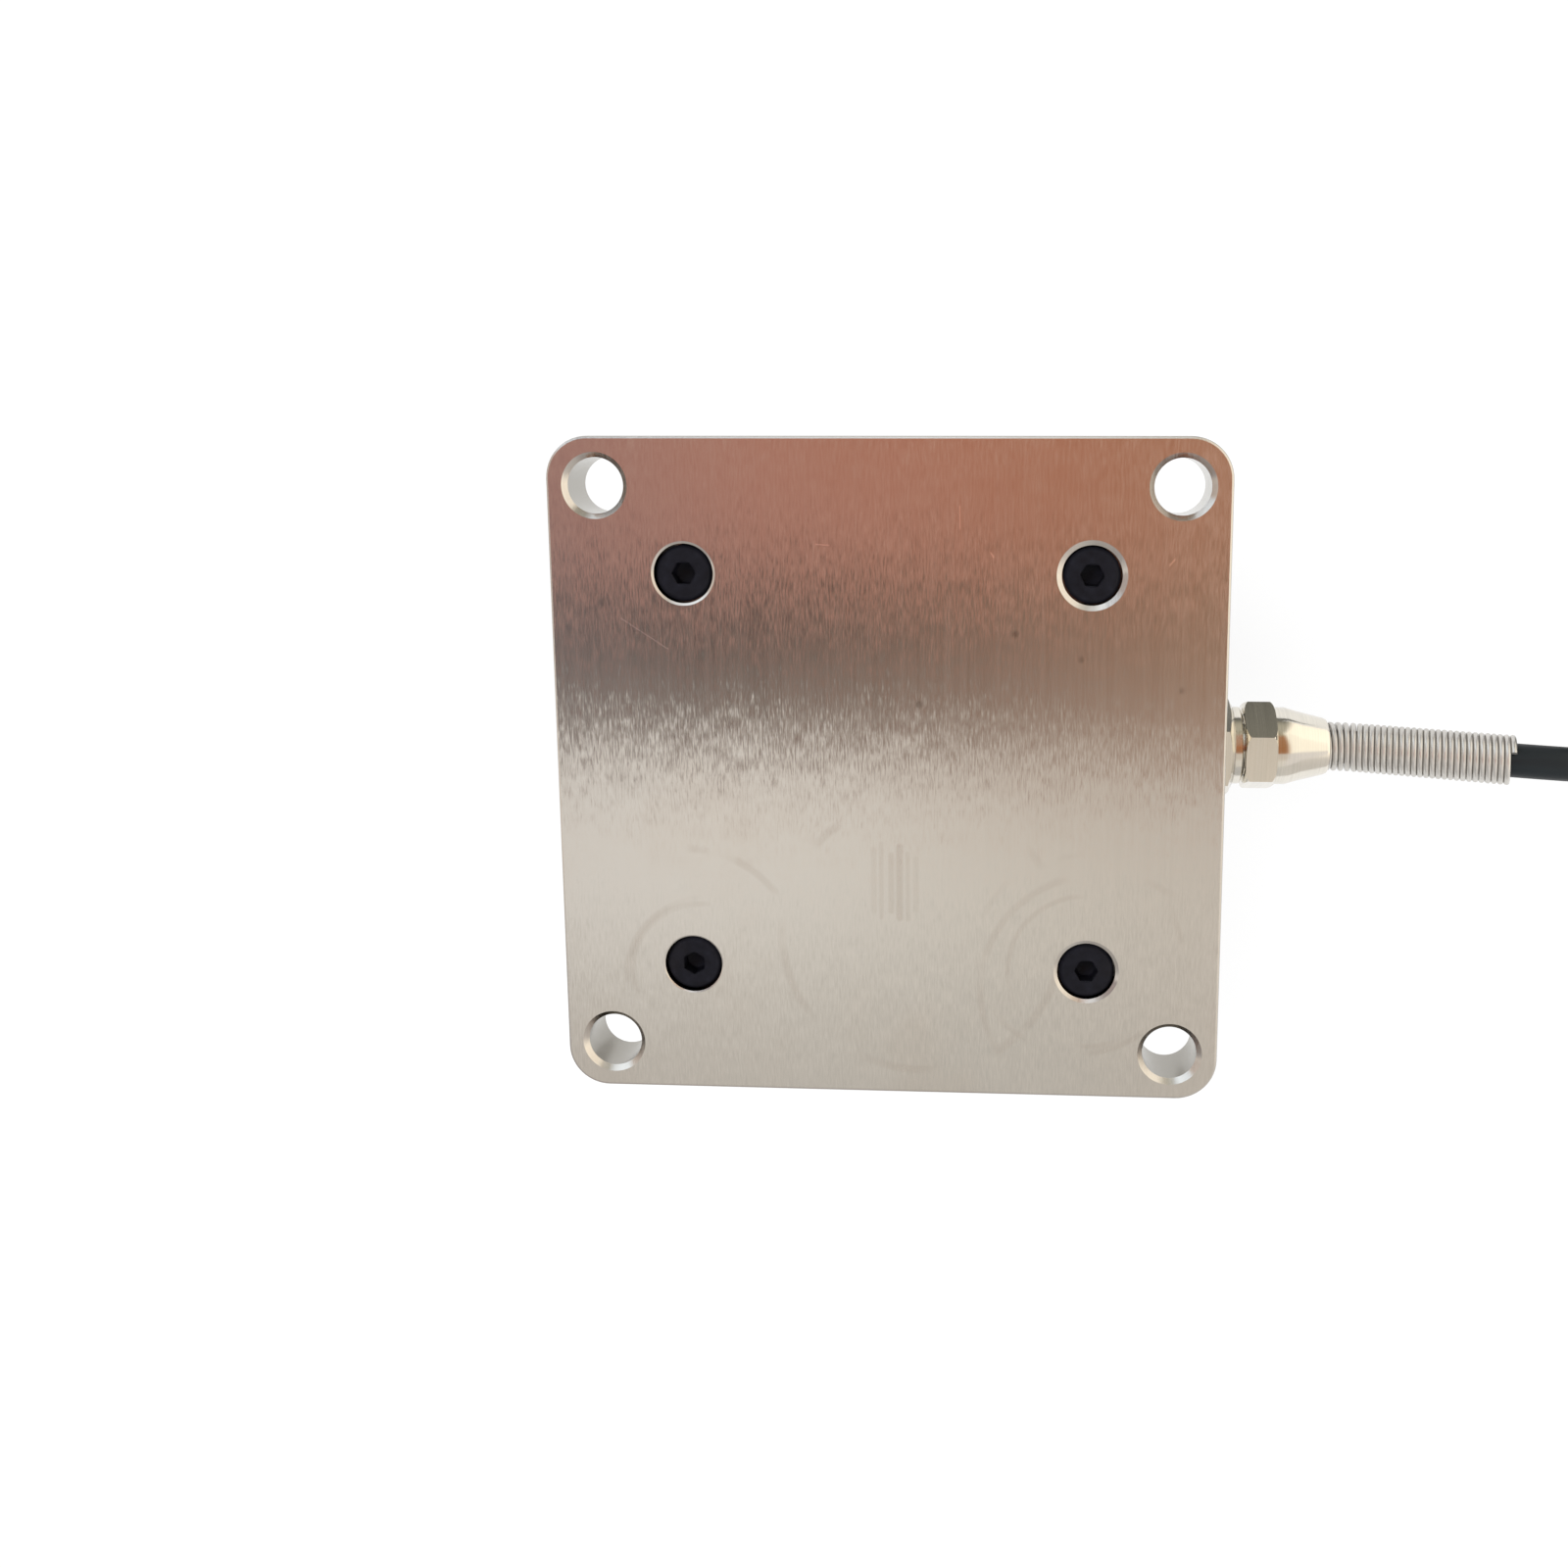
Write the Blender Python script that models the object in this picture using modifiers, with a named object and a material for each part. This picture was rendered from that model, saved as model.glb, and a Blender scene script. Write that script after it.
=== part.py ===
# Strain gauge load cell: a low-profile spoke cell bolted under a square mounting plate.
# Metres, +Z up. The load face rests at z = 0, the mounting plate is on top,
# and the cable leaves towards +X through a hexagonal gland with a spring strain relief.
import math

import bmesh
import bpy
from mathutils import Euler, Matrix, Vector

# Gaps between pieces that touch on the real object
SEAT = 0.0003
BOND_LINE = 0.0001
EDGE_BREAK = 0.0003

# Mounting plate
PLATE_SIDE = 0.080
PLATE_THICKNESS = 0.008
PLATE_CORNER_RADIUS = 0.0050
CORNER_HOLE_DIAMETER = 0.0066
CORNER_HOLE_PITCH = 0.0685
CORNER_HOLE_CHAMFER = 0.0006

# Socket head cap screws, in the plate and in the load plate
SCREW_DIAMETER = 0.004
SCREW_HEAD_DIAMETER = 0.0068
SCREW_HEAD_HEIGHT = 0.004
SCREW_HEAD_BEVEL = 0.0004
SCREW_SOCKET_FLATS = 0.0025
SCREW_SOCKET_DEPTH = 0.002
SCREW_ENGAGEMENT = 0.0075
SCREW_HEAD_RECESS = 0.0004
COUNTERBORE_CLEARANCE = 0.0002
COUNTERBORE_CHAMFER = 0.0003
PLATE_SCREW_INSET = 0.0003
PLATE_SCREW_TURNS = [math.radians(a) for a in (0, 30, 30, 26)]

# Spoke body, turned from one piece
BODY_DIAMETER = 0.076
BODY_HEIGHT = 0.024
RIM_WALL = 0.009
HUB_DIAMETER = 0.026
HUB_RELIEF = 0.0006
SPOKE_COUNT = 4
SPOKE_FIRST_ANGLE = math.radians(45)
SPOKE_WIDTH = 0.009
SPOKE_HEIGHT = 0.016
WEB_THICKNESS = 0.003
POCKET_STEP = 0.0004
POCKET_FILLET = 0.002
GAUGE_HOLE_DIAMETER = 0.009

# Strain gauges
GAUGE_LENGTH = 0.006
GAUGE_WIDTH = 0.0045
GAUGE_THICKNESS = 0.0002

# Covers and the ring seal at the hub
COVER_LEDGE = 0.0015
COVER_THICKNESS = 0.001
SEAL_WIDTH = 0.0024
SEAL_HEIGHT = 0.0016

# Load plate
LOAD_PLATE_DIAMETER = 0.064
LOAD_PLATE_THICKNESS = 0.0065
LOAD_GAP = 0.0012
LOAD_SCREW_CIRCLE = 0.018
LOAD_SCREW_RECESS = 0.0005
USER_HOLE_DIAMETER = 0.005
USER_HOLE_EDGE = 0.007
PIN_DIAMETER = 0.003
PIN_LENGTH = 0.009
PIN_CIRCLE = 0.018

# Bridge board under the upper cover
BOARD_HUB_GAP = 0.0025
BOARD_RIM_GAP = 0.0035
BOARD_WIDTH = 0.014
BOARD_THICKNESS = 0.0012
SPACER_LENGTH = 0.0035
SPACER_DIAMETER = 0.0042
BOARD_SCREW_DIAMETER = 0.002
BOARD_SCREW_HEAD_DIAMETER = 0.0038
BOARD_SCREW_HEAD_HEIGHT = 0.0012
BOARD_SCREW_PITCH = 0.009
CORE_DIAMETER = 0.0009
CORE_PITCH = 0.0012

# Cable
CABLE_DIAMETER = 0.0044

# Gland: the body screws into the rim, the nut closes it over a rubber bush
GLAND_BORE_CLEARANCE = 0.0003
GLAND_THREAD_DIAMETER = 0.008
SPOTFACE_DEPTH = 0.0006
SPOTFACE_DIAMETER = 0.0164
WASHER_THICKNESS = 0.0008
WASHER_DIAMETER = 0.0125
BODY_HEX_FLATS = 0.0125
BODY_HEX_LENGTH = 0.0045
BODY_HEX_TURN = math.radians(5)
NECK_DIAMETER = 0.0101
NECK_LENGTH = 0.0010
NUT_THREAD_WALL = 0.0014
NUT_THREAD_LENGTH = 0.0038
BUSH_LENGTH = 0.0020
HEX_CHAMFER_SLOPE = 0.5
NUT_HEX_FLATS = 0.0105
NUT_HEX_LENGTH = 0.00405
NUT_HEX_TURN = math.radians(9)
COLLAR_LENGTH = 0.0015
CONE_LENGTH = 0.00545
NOSE_WALL = 0.00018
NOSE_BEVEL = 0.0005
MOUTH_DEPTH = 0.0015
MOUTH_CLEARANCE = 0.00012

# Spring strain relief, close wound, leaning a little from the gland's axis
SPRING_WIRE = 0.0007
SPRING_CLEARANCE = 0.0003
SPRING_PITCH = 0.000788
SPRING_TURNS = 30.5
SPRING_END_TURN = math.radians(29)
SPRING_LEAN = math.radians(4)
SPRING_STRAIGHT = 0.001
SPRING_BEND = 0.003
SPRING_STEPS = 12

# Coil of the cable's unseen length, and its free end
COIL_CENTRE = Vector((0.1295, 0.0259, 0.0))
COIL_MEAN_RADIUS = 0.0264
COIL_COLUMNS = 3
COIL_LAYERS = 4
COIL_TURN_PITCH = 0.0045
TAIL_FROM = math.radians(-22)
TAIL_TO = math.radians(5)
SLEEVE_DIAMETER = 0.0050
SLEEVE_LENGTH = 0.008
LEAD_DIAMETER = 0.0012
LEAD_OFFSET = 0.0010
LEAD_LENGTH = 0.020
LEAD_SPLAY = 0.0025

# Places that follow from the sizes
LOAD_PLATE_TOP = LOAD_PLATE_THICKNESS
USER_HOLE_CIRCLE = LOAD_PLATE_DIAMETER - 2 * USER_HOLE_EDGE
HUB_BOTTOM = LOAD_PLATE_TOP + SEAT
BODY_BOTTOM = LOAD_PLATE_TOP + LOAD_GAP
BODY_TOP = BODY_BOTTOM + BODY_HEIGHT
AXIS_Z = BODY_BOTTOM + BODY_HEIGHT / 2
PLATE_BOTTOM = BODY_TOP + SEAT
PLATE_TOP = PLATE_BOTTOM + PLATE_THICKNESS
COVER_DEPTH = COVER_THICKNESS + SEAT
RIM_INNER_DIAMETER = BODY_DIAMETER - 2 * RIM_WALL
COVER_RADIUS = RIM_INNER_DIAMETER / 2 + COVER_LEDGE
RIM_MIDDLE = (BODY_DIAMETER / 2 + COVER_RADIUS) / 2
PLATE_SCREW_PITCH = math.sqrt(2) * (RIM_MIDDLE - PLATE_SCREW_INSET)
COVER_UNDERSIDE = BODY_TOP - COVER_THICKNESS
SPOKE_TOP = AXIS_Z + SPOKE_HEIGHT / 2
SPOKE_BOTTOM = AXIS_Z - SPOKE_HEIGHT / 2
GAUGE_RADIUS = (RIM_INNER_DIAMETER + HUB_DIAMETER) / 4
SPOTFACE_X = BODY_DIAMETER / 2 - SPOTFACE_DEPTH
BODY_HEX_X = SPOTFACE_X + WASHER_THICKNESS + 2 * SEAT
NECK_X = BODY_HEX_X + BODY_HEX_LENGTH
NUT_X = NECK_X + NECK_LENGTH + SEAT
COLLAR_X = NUT_X + NUT_HEX_LENGTH
CONE_X = COLLAR_X + COLLAR_LENGTH
NOSE_X = CONE_X + CONE_LENGTH
MOUTH_X = NOSE_X - MOUTH_DEPTH
GLAND_BORE = CABLE_DIAMETER + 2 * GLAND_BORE_CLEARANCE
NUT_THREAD_DIAMETER = GLAND_BORE + 2 * NUT_THREAD_WALL
NUT_BORE = NUT_THREAD_DIAMETER + 2 * SEAT
NUT_THREAD_X = NUT_X + NUT_THREAD_LENGTH
BUSH_X = NUT_THREAD_X + SEAT
BUSH_END_X = BUSH_X + BUSH_LENGTH
SPRING_INNER = CABLE_DIAMETER + 2 * SPRING_CLEARANCE
SPRING_OUTER = SPRING_INNER + 2 * SPRING_WIRE
MOUTH_DIAMETER = SPRING_OUTER + 2 * MOUTH_CLEARANCE
NOSE_DIAMETER = MOUTH_DIAMETER + 2 * NOSE_WALL
SPRING_X = MOUTH_X + SEAT + SPRING_WIRE / 2
BOARD_TOP = COVER_UNDERSIDE - SPACER_LENGTH - 2 * SEAT
BOARD_BOTTOM = BOARD_TOP - BOARD_THICKNESS
BOARD_INNER_X = HUB_DIAMETER / 2 + BOARD_HUB_GAP
BOARD_OUTER_X = RIM_INNER_DIAMETER / 2 - BOARD_RIM_GAP
BOARD_LENGTH = BOARD_OUTER_X - BOARD_INNER_X
CABLE_START_X = RIM_INNER_DIAMETER / 2 - 0.001
COIL_HALF_WIDTH = COIL_COLUMNS * COIL_TURN_PITCH / 2
COIL_HEIGHT = COIL_LAYERS * COIL_TURN_PITCH
TAIL_RADIUS = COIL_MEAN_RADIUS + COIL_HALF_WIDTH + SEAT + CABLE_DIAMETER / 2

# The cable's route from inside the rim to the coil's top layer
CABLE_ROUTE = [
    (CABLE_START_X, 0.0, AXIS_Z),
    (0.0420, 0.0, AXIS_Z),
    (0.0530, 0.0, AXIS_Z),
    (0.0565, -0.00003, AXIS_Z),
    (0.0600, -0.00020, AXIS_Z),
    (0.0680, -0.00076, AXIS_Z),
    (0.0792, -0.00154, AXIS_Z - 0.0001),
    (0.0870, -0.00209, 0.0191),
    (0.0950, -0.00264, 0.0179),
    (0.1030, -0.00320, 0.0166),
    (0.1098, -0.00368, 0.0159),
]
ROUTE_STEP = 2.2 * CABLE_DIAMETER

FULL_ROUND = 40
ROUND = 20
SMALL_ROUND = 16
X_AXIS = Euler((0.0, math.radians(90), 0.0))


def clear_scene():
    for obj in list(bpy.data.objects):
        bpy.data.objects.remove(obj, do_unlink=True)


def collection(name):
    made = bpy.data.collections.new(name)
    bpy.context.scene.collection.children.link(made)
    return made


def material(name, colour, roughness, metallic):
    made = bpy.data.materials.new(name)
    made.use_nodes = True
    shader = made.node_tree.nodes["Principled BSDF"]
    shader.inputs["Base Color"].default_value = (*colour, 1.0)
    shader.inputs["Roughness"].default_value = roughness
    shader.inputs["Metallic"].default_value = metallic
    made.diffuse_color = (*colour, 1.0)
    return made


clear_scene()
PARTS = collection("strain_gauge_load_cell")
CUTTERS = collection("cutters")
STEEL = material("brushed_nickel_steel", (0.66, 0.61, 0.56), 0.35, 1.0)
MACHINED = material("machined_steel", (0.60, 0.59, 0.57), 0.40, 1.0)
BLACK_OXIDE = material("black_oxide_steel", (0.02, 0.02, 0.022), 0.45, 0.6)
NICKEL = material("nickel_plated_brass", (0.76, 0.72, 0.62), 0.20, 1.0)
SPRING_STEEL = material("spring_steel", (0.66, 0.64, 0.61), 0.25, 1.0)
RUBBER = material("black_rubber", (0.02, 0.02, 0.02), 0.70, 0.0)
JACKET = material("black_cable_jacket", (0.02, 0.02, 0.025), 0.50, 0.0)
BOARD = material("green_circuit_board", (0.03, 0.18, 0.07), 0.45, 0.0)
FOIL = material("gauge_film", (0.72, 0.46, 0.20), 0.35, 0.2)
WIRE_COLOURS = {
    "red": material("red_insulation", (0.55, 0.03, 0.03), 0.45, 0.0),
    "black": material("black_insulation", (0.02, 0.02, 0.02), 0.45, 0.0),
    "green": material("green_insulation", (0.03, 0.30, 0.08), 0.45, 0.0),
    "white": material("white_insulation", (0.80, 0.80, 0.78), 0.45, 0.0),
}


def add_object(name, data, finish, place=(0.0, 0.0, 0.0), turn=None):
    obj = bpy.data.objects.new(name, data)
    obj.location = place
    if turn is not None:
        obj.rotation_euler = turn
    if finish is None:
        CUTTERS.objects.link(obj)
        obj.hide_render = True
        obj.display_type = "WIRE"
    else:
        PARTS.objects.link(obj)
        data.materials.append(finish)
    return obj


def mesh_from(build, name):
    bm = bmesh.new()
    build(bm)
    mesh = bpy.data.meshes.new(name)
    bm.to_mesh(mesh)
    bm.free()
    mesh.shade_smooth()
    mesh.set_sharp_from_angle(angle=math.radians(30))
    return mesh


def block(name, size, finish, place, turn=None):
    """A box of the given size about its own centre."""
    mesh = mesh_from(lambda bm: bmesh.ops.create_cube(bm, size=1, matrix=Matrix.Diagonal((*size, 1))), name)
    return add_object(name, mesh, finish, place, turn)


def cylinder(name, diameter, depth, finish, place, turn=None, sides=SMALL_ROUND):
    """A round bar about its own centre, along its local Z. Six sides make a hexagon."""
    mesh = mesh_from(
        lambda bm: bmesh.ops.create_cone(
            bm, cap_ends=True, segments=sides, radius1=diameter / 2, radius2=diameter / 2, depth=depth
        ),
        name,
    )
    return add_object(name, mesh, finish, place, turn)


def turned(name, profile, finish, place=(0.0, 0.0, 0.0), turn=None, ring=False, sides=ROUND):
    """A profile of (radius, height) points, run from the top down its outer side, turned about Z."""
    mesh = bpy.data.meshes.new(name)
    points = [(radius, 0.0, height) for radius, height in profile]
    edges = [(i, i + 1) for i in range(len(points) - 1)]
    if ring:
        edges.append((len(points) - 1, 0))
    mesh.from_pydata(points, edges, [])
    obj = add_object(name, mesh, finish, place, turn)
    screw = obj.modifiers.new("Turn", "SCREW")
    screw.steps = sides
    screw.render_steps = sides
    screw.use_merge_vertices = True
    screw.merge_threshold = 0.00001
    return obj


def join_or_cut(obj, other, operation="DIFFERENCE"):
    boolean = obj.modifiers.new(other.name, "BOOLEAN")
    boolean.operation = operation
    boolean.object = other


def evaluated_mesh(obj):
    bpy.context.view_layer.update()
    return bpy.data.meshes.new_from_object(obj.evaluated_get(bpy.context.evaluated_depsgraph_get()))


def around(radius, count, first=0.0):
    """Points at equal angles on a circle, as (x, y, angle)."""
    for i in range(count):
        angle = first + i * math.tau / count
        yield radius * math.cos(angle), radius * math.sin(angle), angle


def square(pitch):
    for x in (-pitch / 2, pitch / 2):
        for y in (-pitch / 2, pitch / 2):
            yield x, y


def smooth_route(points, step):
    """Points about one step apart along a Catmull-Rom curve through the route's own points."""
    ends = [Vector(p) for p in points]
    ends = [2 * ends[0] - ends[1]] + ends + [2 * ends[-1] - ends[-2]]
    fine = []
    for a, b, c, d in zip(ends, ends[1:], ends[2:], ends[3:]):
        for i in range(20):
            t = i / 20
            bend = (2 * a - 5 * b + 4 * c - d) * t**2 + (3 * b - a - 3 * c + d) * t**3
            fine.append((2 * b + (c - a) * t + bend) / 2)
    fine.append(ends[-2])
    lengths = [0.0]
    for a, b in zip(fine, fine[1:]):
        lengths.append(lengths[-1] + (b - a).length)
    count = max(2, round(lengths[-1] / step))
    spaced = []
    i = 0
    for k in range(count + 1):
        along = lengths[-1] * k / count
        while i < len(fine) - 2 and lengths[i + 1] < along:
            i += 1
        share = (along - lengths[i]) / (lengths[i + 1] - lengths[i])
        spaced.append(fine[i].lerp(fine[i + 1], share))
    return spaced


def tube(name, points, diameter, finish, rings=2):
    """A round wire or cable along a chain of points, with filled ends."""
    curve = bpy.data.curves.new(name, "CURVE")
    curve.dimensions = "3D"
    curve.bevel_depth = diameter / 2
    curve.bevel_resolution = rings
    curve.use_fill_caps = True
    spline = curve.splines.new("POLY")
    spline.points.add(len(points) - 1)
    for point, place in zip(spline.points, points):
        point.co = (*place, 1.0)
    return add_object(name, curve, finish)


def chamfered_hole(name, diameter, chamfer, low, high, place, sides=ROUND):
    """A cutter for a through hole whose mouths are chamfered, wider still past the faces that it leaves."""
    past = 0.0005
    radius = diameter / 2
    mouth = radius + chamfer + past
    profile = [
        (0.0, high + past),
        (mouth, high + past),
        (radius, high - chamfer),
        (radius, low + chamfer),
        (mouth, low - past),
        (0.0, low - past),
    ]
    return turned(name, profile, None, place, sides=sides)


def screw_mesh(name, reach):
    """A socket head cap screw, its head's underside at z = 0 and its shank down to -reach."""
    head = SCREW_HEAD_DIAMETER / 2
    profile = [
        (0.0, SCREW_HEAD_HEIGHT),
        (head - SCREW_HEAD_BEVEL, SCREW_HEAD_HEIGHT),
        (head, SCREW_HEAD_HEIGHT - SCREW_HEAD_BEVEL),
        (head, 0.0),
        (SCREW_DIAMETER / 2, 0.0),
        (SCREW_DIAMETER / 2, SCREW_DIAMETER / 8 - reach),
        (SCREW_DIAMETER * 3 / 8, -reach),
        (0.0, -reach),
    ]
    whole = turned(name + "_blank", profile, None, sides=SMALL_ROUND)
    socket = cylinder(
        name + "_socket",
        SCREW_SOCKET_FLATS / math.cos(math.radians(30)),
        2 * SCREW_SOCKET_DEPTH,
        None,
        (0.0, 0.0, SCREW_HEAD_HEIGHT),
        sides=6,
    )
    join_or_cut(whole, socket)
    mesh = evaluated_mesh(whole)
    mesh.name = name
    for spare in (whole, socket):
        bpy.data.objects.remove(spare, do_unlink=True)
    mesh.shade_smooth()
    mesh.set_sharp_from_angle(angle=math.radians(30))
    return mesh


def counterbore(name, face, up, place):
    """Cutters for a counterbore with a chamfered mouth, and for the clearance hole past its floor."""
    depth = SCREW_HEAD_HEIGHT + (SCREW_HEAD_RECESS if up > 0 else LOAD_SCREW_RECESS)
    bore = SCREW_HEAD_DIAMETER / 2 + COUNTERBORE_CLEARANCE
    past = 0.0005
    mouth = bore + COUNTERBORE_CHAMFER + past
    shank = SCREW_DIAMETER / 2 + SEAT
    thickness = PLATE_THICKNESS if up > 0 else LOAD_PLATE_THICKNESS
    profile = [
        (0.0, past),
        (mouth, past),
        (bore, -COUNTERBORE_CHAMFER),
        (bore, -depth),
        (shank, -depth),
        (shank, -thickness - past),
        (0.0, -thickness - past),
    ]
    turn = None if up > 0 else Euler((math.pi, 0.0, 0.0))
    return turned(name, profile, None, (*place, face), turn)


def build_mounting_plate():
    def shape(bm):
        size = (PLATE_SIDE, PLATE_SIDE, PLATE_THICKNESS, 1)
        bmesh.ops.create_cube(bm, size=1, matrix=Matrix.Diagonal(size))
        upright = [e for e in bm.edges if abs(e.verts[0].co.z - e.verts[1].co.z) > PLATE_THICKNESS / 2]
        bmesh.ops.bevel(
            bm, geom=upright, offset=PLATE_CORNER_RADIUS, segments=6, profile=0.5, affect="EDGES"
        )
        caps = [f for f in bm.faces if abs(f.normal.z) > 0.9]
        rims = list({e for f in caps for e in f.edges})
        bmesh.ops.bevel(bm, geom=rims, offset=EDGE_BREAK, segments=1, profile=0.5, affect="EDGES")

    middle = PLATE_BOTTOM + PLATE_THICKNESS / 2
    plate = add_object("mounting_plate", mesh_from(shape, "mounting_plate"), STEEL, (0.0, 0.0, middle))
    for i, (x, y) in enumerate(square(CORNER_HOLE_PITCH)):
        hole = chamfered_hole(
            f"corner_hole_{i + 1}",
            CORNER_HOLE_DIAMETER,
            CORNER_HOLE_CHAMFER,
            PLATE_BOTTOM,
            PLATE_TOP,
            (x, y, 0.0),
        )
        join_or_cut(plate, hole)
    for i, (x, y) in enumerate(square(PLATE_SCREW_PITCH)):
        join_or_cut(plate, counterbore(f"plate_counterbore_{i + 1}", PLATE_TOP, 1, (x, y)))


def build_plate_screws():
    seat = PLATE_TOP - SCREW_HEAD_RECESS - SCREW_HEAD_HEIGHT
    mesh = screw_mesh("plate_screw", seat - BODY_TOP + SCREW_ENGAGEMENT)
    mesh.materials.append(BLACK_OXIDE)
    for i, (x, y) in enumerate(square(PLATE_SCREW_PITCH)):
        obj = bpy.data.objects.new(f"plate_screw_{i + 1}", mesh)
        obj.location = (x, y, seat + SEAT / 2)
        obj.rotation_euler = (0.0, 0.0, PLATE_SCREW_TURNS[i])
        PARTS.objects.link(obj)


def pocket_shape(bm):
    """The pocket between two spokes, as a prism about +X with its upright corners rounded."""
    half = SPOKE_WIDTH / 2
    outer = RIM_INNER_DIAMETER / 2 - POCKET_STEP
    inner = HUB_DIAMETER / 2 + POCKET_STEP
    side = math.pi / SPOKE_COUNT
    outline = []
    for radius, count, sign in ((outer, 12, 1), (inner, 6, -1)):
        reach = side - math.asin(half / radius)
        for i in range(count + 1):
            angle = sign * reach * (2 * i / count - 1)
            outline.append((radius * math.cos(angle), radius * math.sin(angle)))
    low, high = SPOKE_BOTTOM - 0.001, SPOKE_TOP + 0.001
    floor = bm.faces.new([bm.verts.new((x, y, low)) for x, y in outline])
    grown = bmesh.ops.extrude_face_region(bm, geom=[floor])
    top = [v for v in grown["geom"] if isinstance(v, bmesh.types.BMVert)]
    bmesh.ops.translate(bm, verts=top, vec=(0.0, 0.0, high - low))
    bmesh.ops.recalc_face_normals(bm, faces=bm.faces)
    corners = [
        e
        for e in bm.edges
        if abs(e.verts[0].co.z - e.verts[1].co.z) > SPOKE_HEIGHT / 2
        and e.calc_face_angle() > math.radians(30)
    ]
    bmesh.ops.bevel(bm, geom=corners, offset=POCKET_FILLET, segments=3, profile=0.5, affect="EDGES")


def build_spoke_body():
    rim = BODY_DIAMETER / 2
    hub = HUB_DIAMETER / 2
    inner = RIM_INNER_DIAMETER / 2
    rebate = COVER_RADIUS + SEAT
    hub_top = BODY_TOP - COVER_DEPTH - HUB_RELIEF
    profile = [
        (0.0, hub_top),
        (hub, hub_top),
        (hub, SPOKE_TOP),
        (inner, SPOKE_TOP),
        (inner, BODY_TOP - COVER_DEPTH),
        (rebate, BODY_TOP - COVER_DEPTH),
        (rebate, BODY_TOP),
        (rim - EDGE_BREAK, BODY_TOP),
        (rim, BODY_TOP - EDGE_BREAK),
        (rim, BODY_BOTTOM + EDGE_BREAK),
        (rim - EDGE_BREAK, BODY_BOTTOM),
        (rebate, BODY_BOTTOM),
        (rebate, BODY_BOTTOM + COVER_DEPTH),
        (inner, BODY_BOTTOM + COVER_DEPTH),
        (inner, SPOKE_BOTTOM),
        (hub, SPOKE_BOTTOM),
        (hub, HUB_BOTTOM),
        (0.0, HUB_BOTTOM),
    ]
    body = turned("spoke_body", profile, MACHINED, sides=FULL_ROUND)
    pocket_mesh = mesh_from(pocket_shape, "pocket")
    depth = (SPOKE_WIDTH - WEB_THICKNESS) / 2 + 0.001
    for i, (x, y, angle) in enumerate(around(GAUGE_RADIUS, SPOKE_COUNT, SPOKE_FIRST_ANGLE)):
        pocket_turn = Euler((0.0, 0.0, angle - SPOKE_FIRST_ANGLE))
        join_or_cut(body, add_object(f"pocket_{i + 1}", pocket_mesh, None, turn=pocket_turn))
        for side in (-1, 1):
            out = side * (WEB_THICKNESS / 2 + depth / 2)
            place = (x - out * math.sin(angle), y + out * math.cos(angle), AXIS_Z)
            turn = Euler((math.radians(90), 0.0, angle))
            name = f"gauge_hole_{i + 1}_{side + 2}"
            join_or_cut(body, cylinder(name, GAUGE_HOLE_DIAMETER, depth, None, place, turn))
    tapped = SCREW_DIAMETER + 2 * SEAT
    deep = SCREW_ENGAGEMENT + 0.001
    for i, (x, y) in enumerate(square(PLATE_SCREW_PITCH)):
        place = (x, y, BODY_TOP - deep / 2 + 0.0005)
        join_or_cut(body, cylinder(f"rim_tapping_{i + 1}", tapped, deep + 0.001, None, place))
    for i, (x, y, _) in enumerate(around(LOAD_SCREW_CIRCLE / 2, SPOKE_COUNT, SPOKE_FIRST_ANGLE)):
        place = (x, y, HUB_BOTTOM + deep / 2 - 0.0005)
        join_or_cut(body, cylinder(f"hub_tapping_{i + 1}", tapped, deep + 0.001, None, place))
    pin_deep = PIN_LENGTH / 2 + SEAT
    pin_hole = PIN_DIAMETER + 2 * SEAT
    for i, (x, y, _) in enumerate(around(PIN_CIRCLE / 2, 2)):
        place = (x, y, HUB_BOTTOM + pin_deep / 2 - 0.0005)
        join_or_cut(body, cylinder(f"hub_pin_hole_{i + 1}", pin_hole, pin_deep + 0.001, None, place))
    port = GLAND_THREAD_DIAMETER / 2 + SEAT
    past = rim + 0.002
    gland_port = [
        (0.0, past),
        (SPOTFACE_DIAMETER / 2, past),
        (SPOTFACE_DIAMETER / 2, SPOTFACE_X),
        (port, SPOTFACE_X),
        (port, inner - 0.002),
        (0.0, inner - 0.002),
    ]
    join_or_cut(body, turned("gland_port", gland_port, None, (0.0, 0.0, AXIS_Z), X_AXIS))


def build_gauges():
    """Two gauges back to back on each spoke's web."""
    out = WEB_THICKNESS / 2 + BOND_LINE + GAUGE_THICKNESS / 2
    number = 0
    for x, y, angle in around(GAUGE_RADIUS, SPOKE_COUNT, SPOKE_FIRST_ANGLE):
        for side in (-1, 1):
            number += 1
            place = (x - side * out * math.sin(angle), y + side * out * math.cos(angle), AXIS_Z)
            size = (GAUGE_LENGTH, GAUGE_THICKNESS, GAUGE_WIDTH)
            block(f"strain_gauge_{number}", size, FOIL, place, Euler((0.0, 0.0, angle)))


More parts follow.
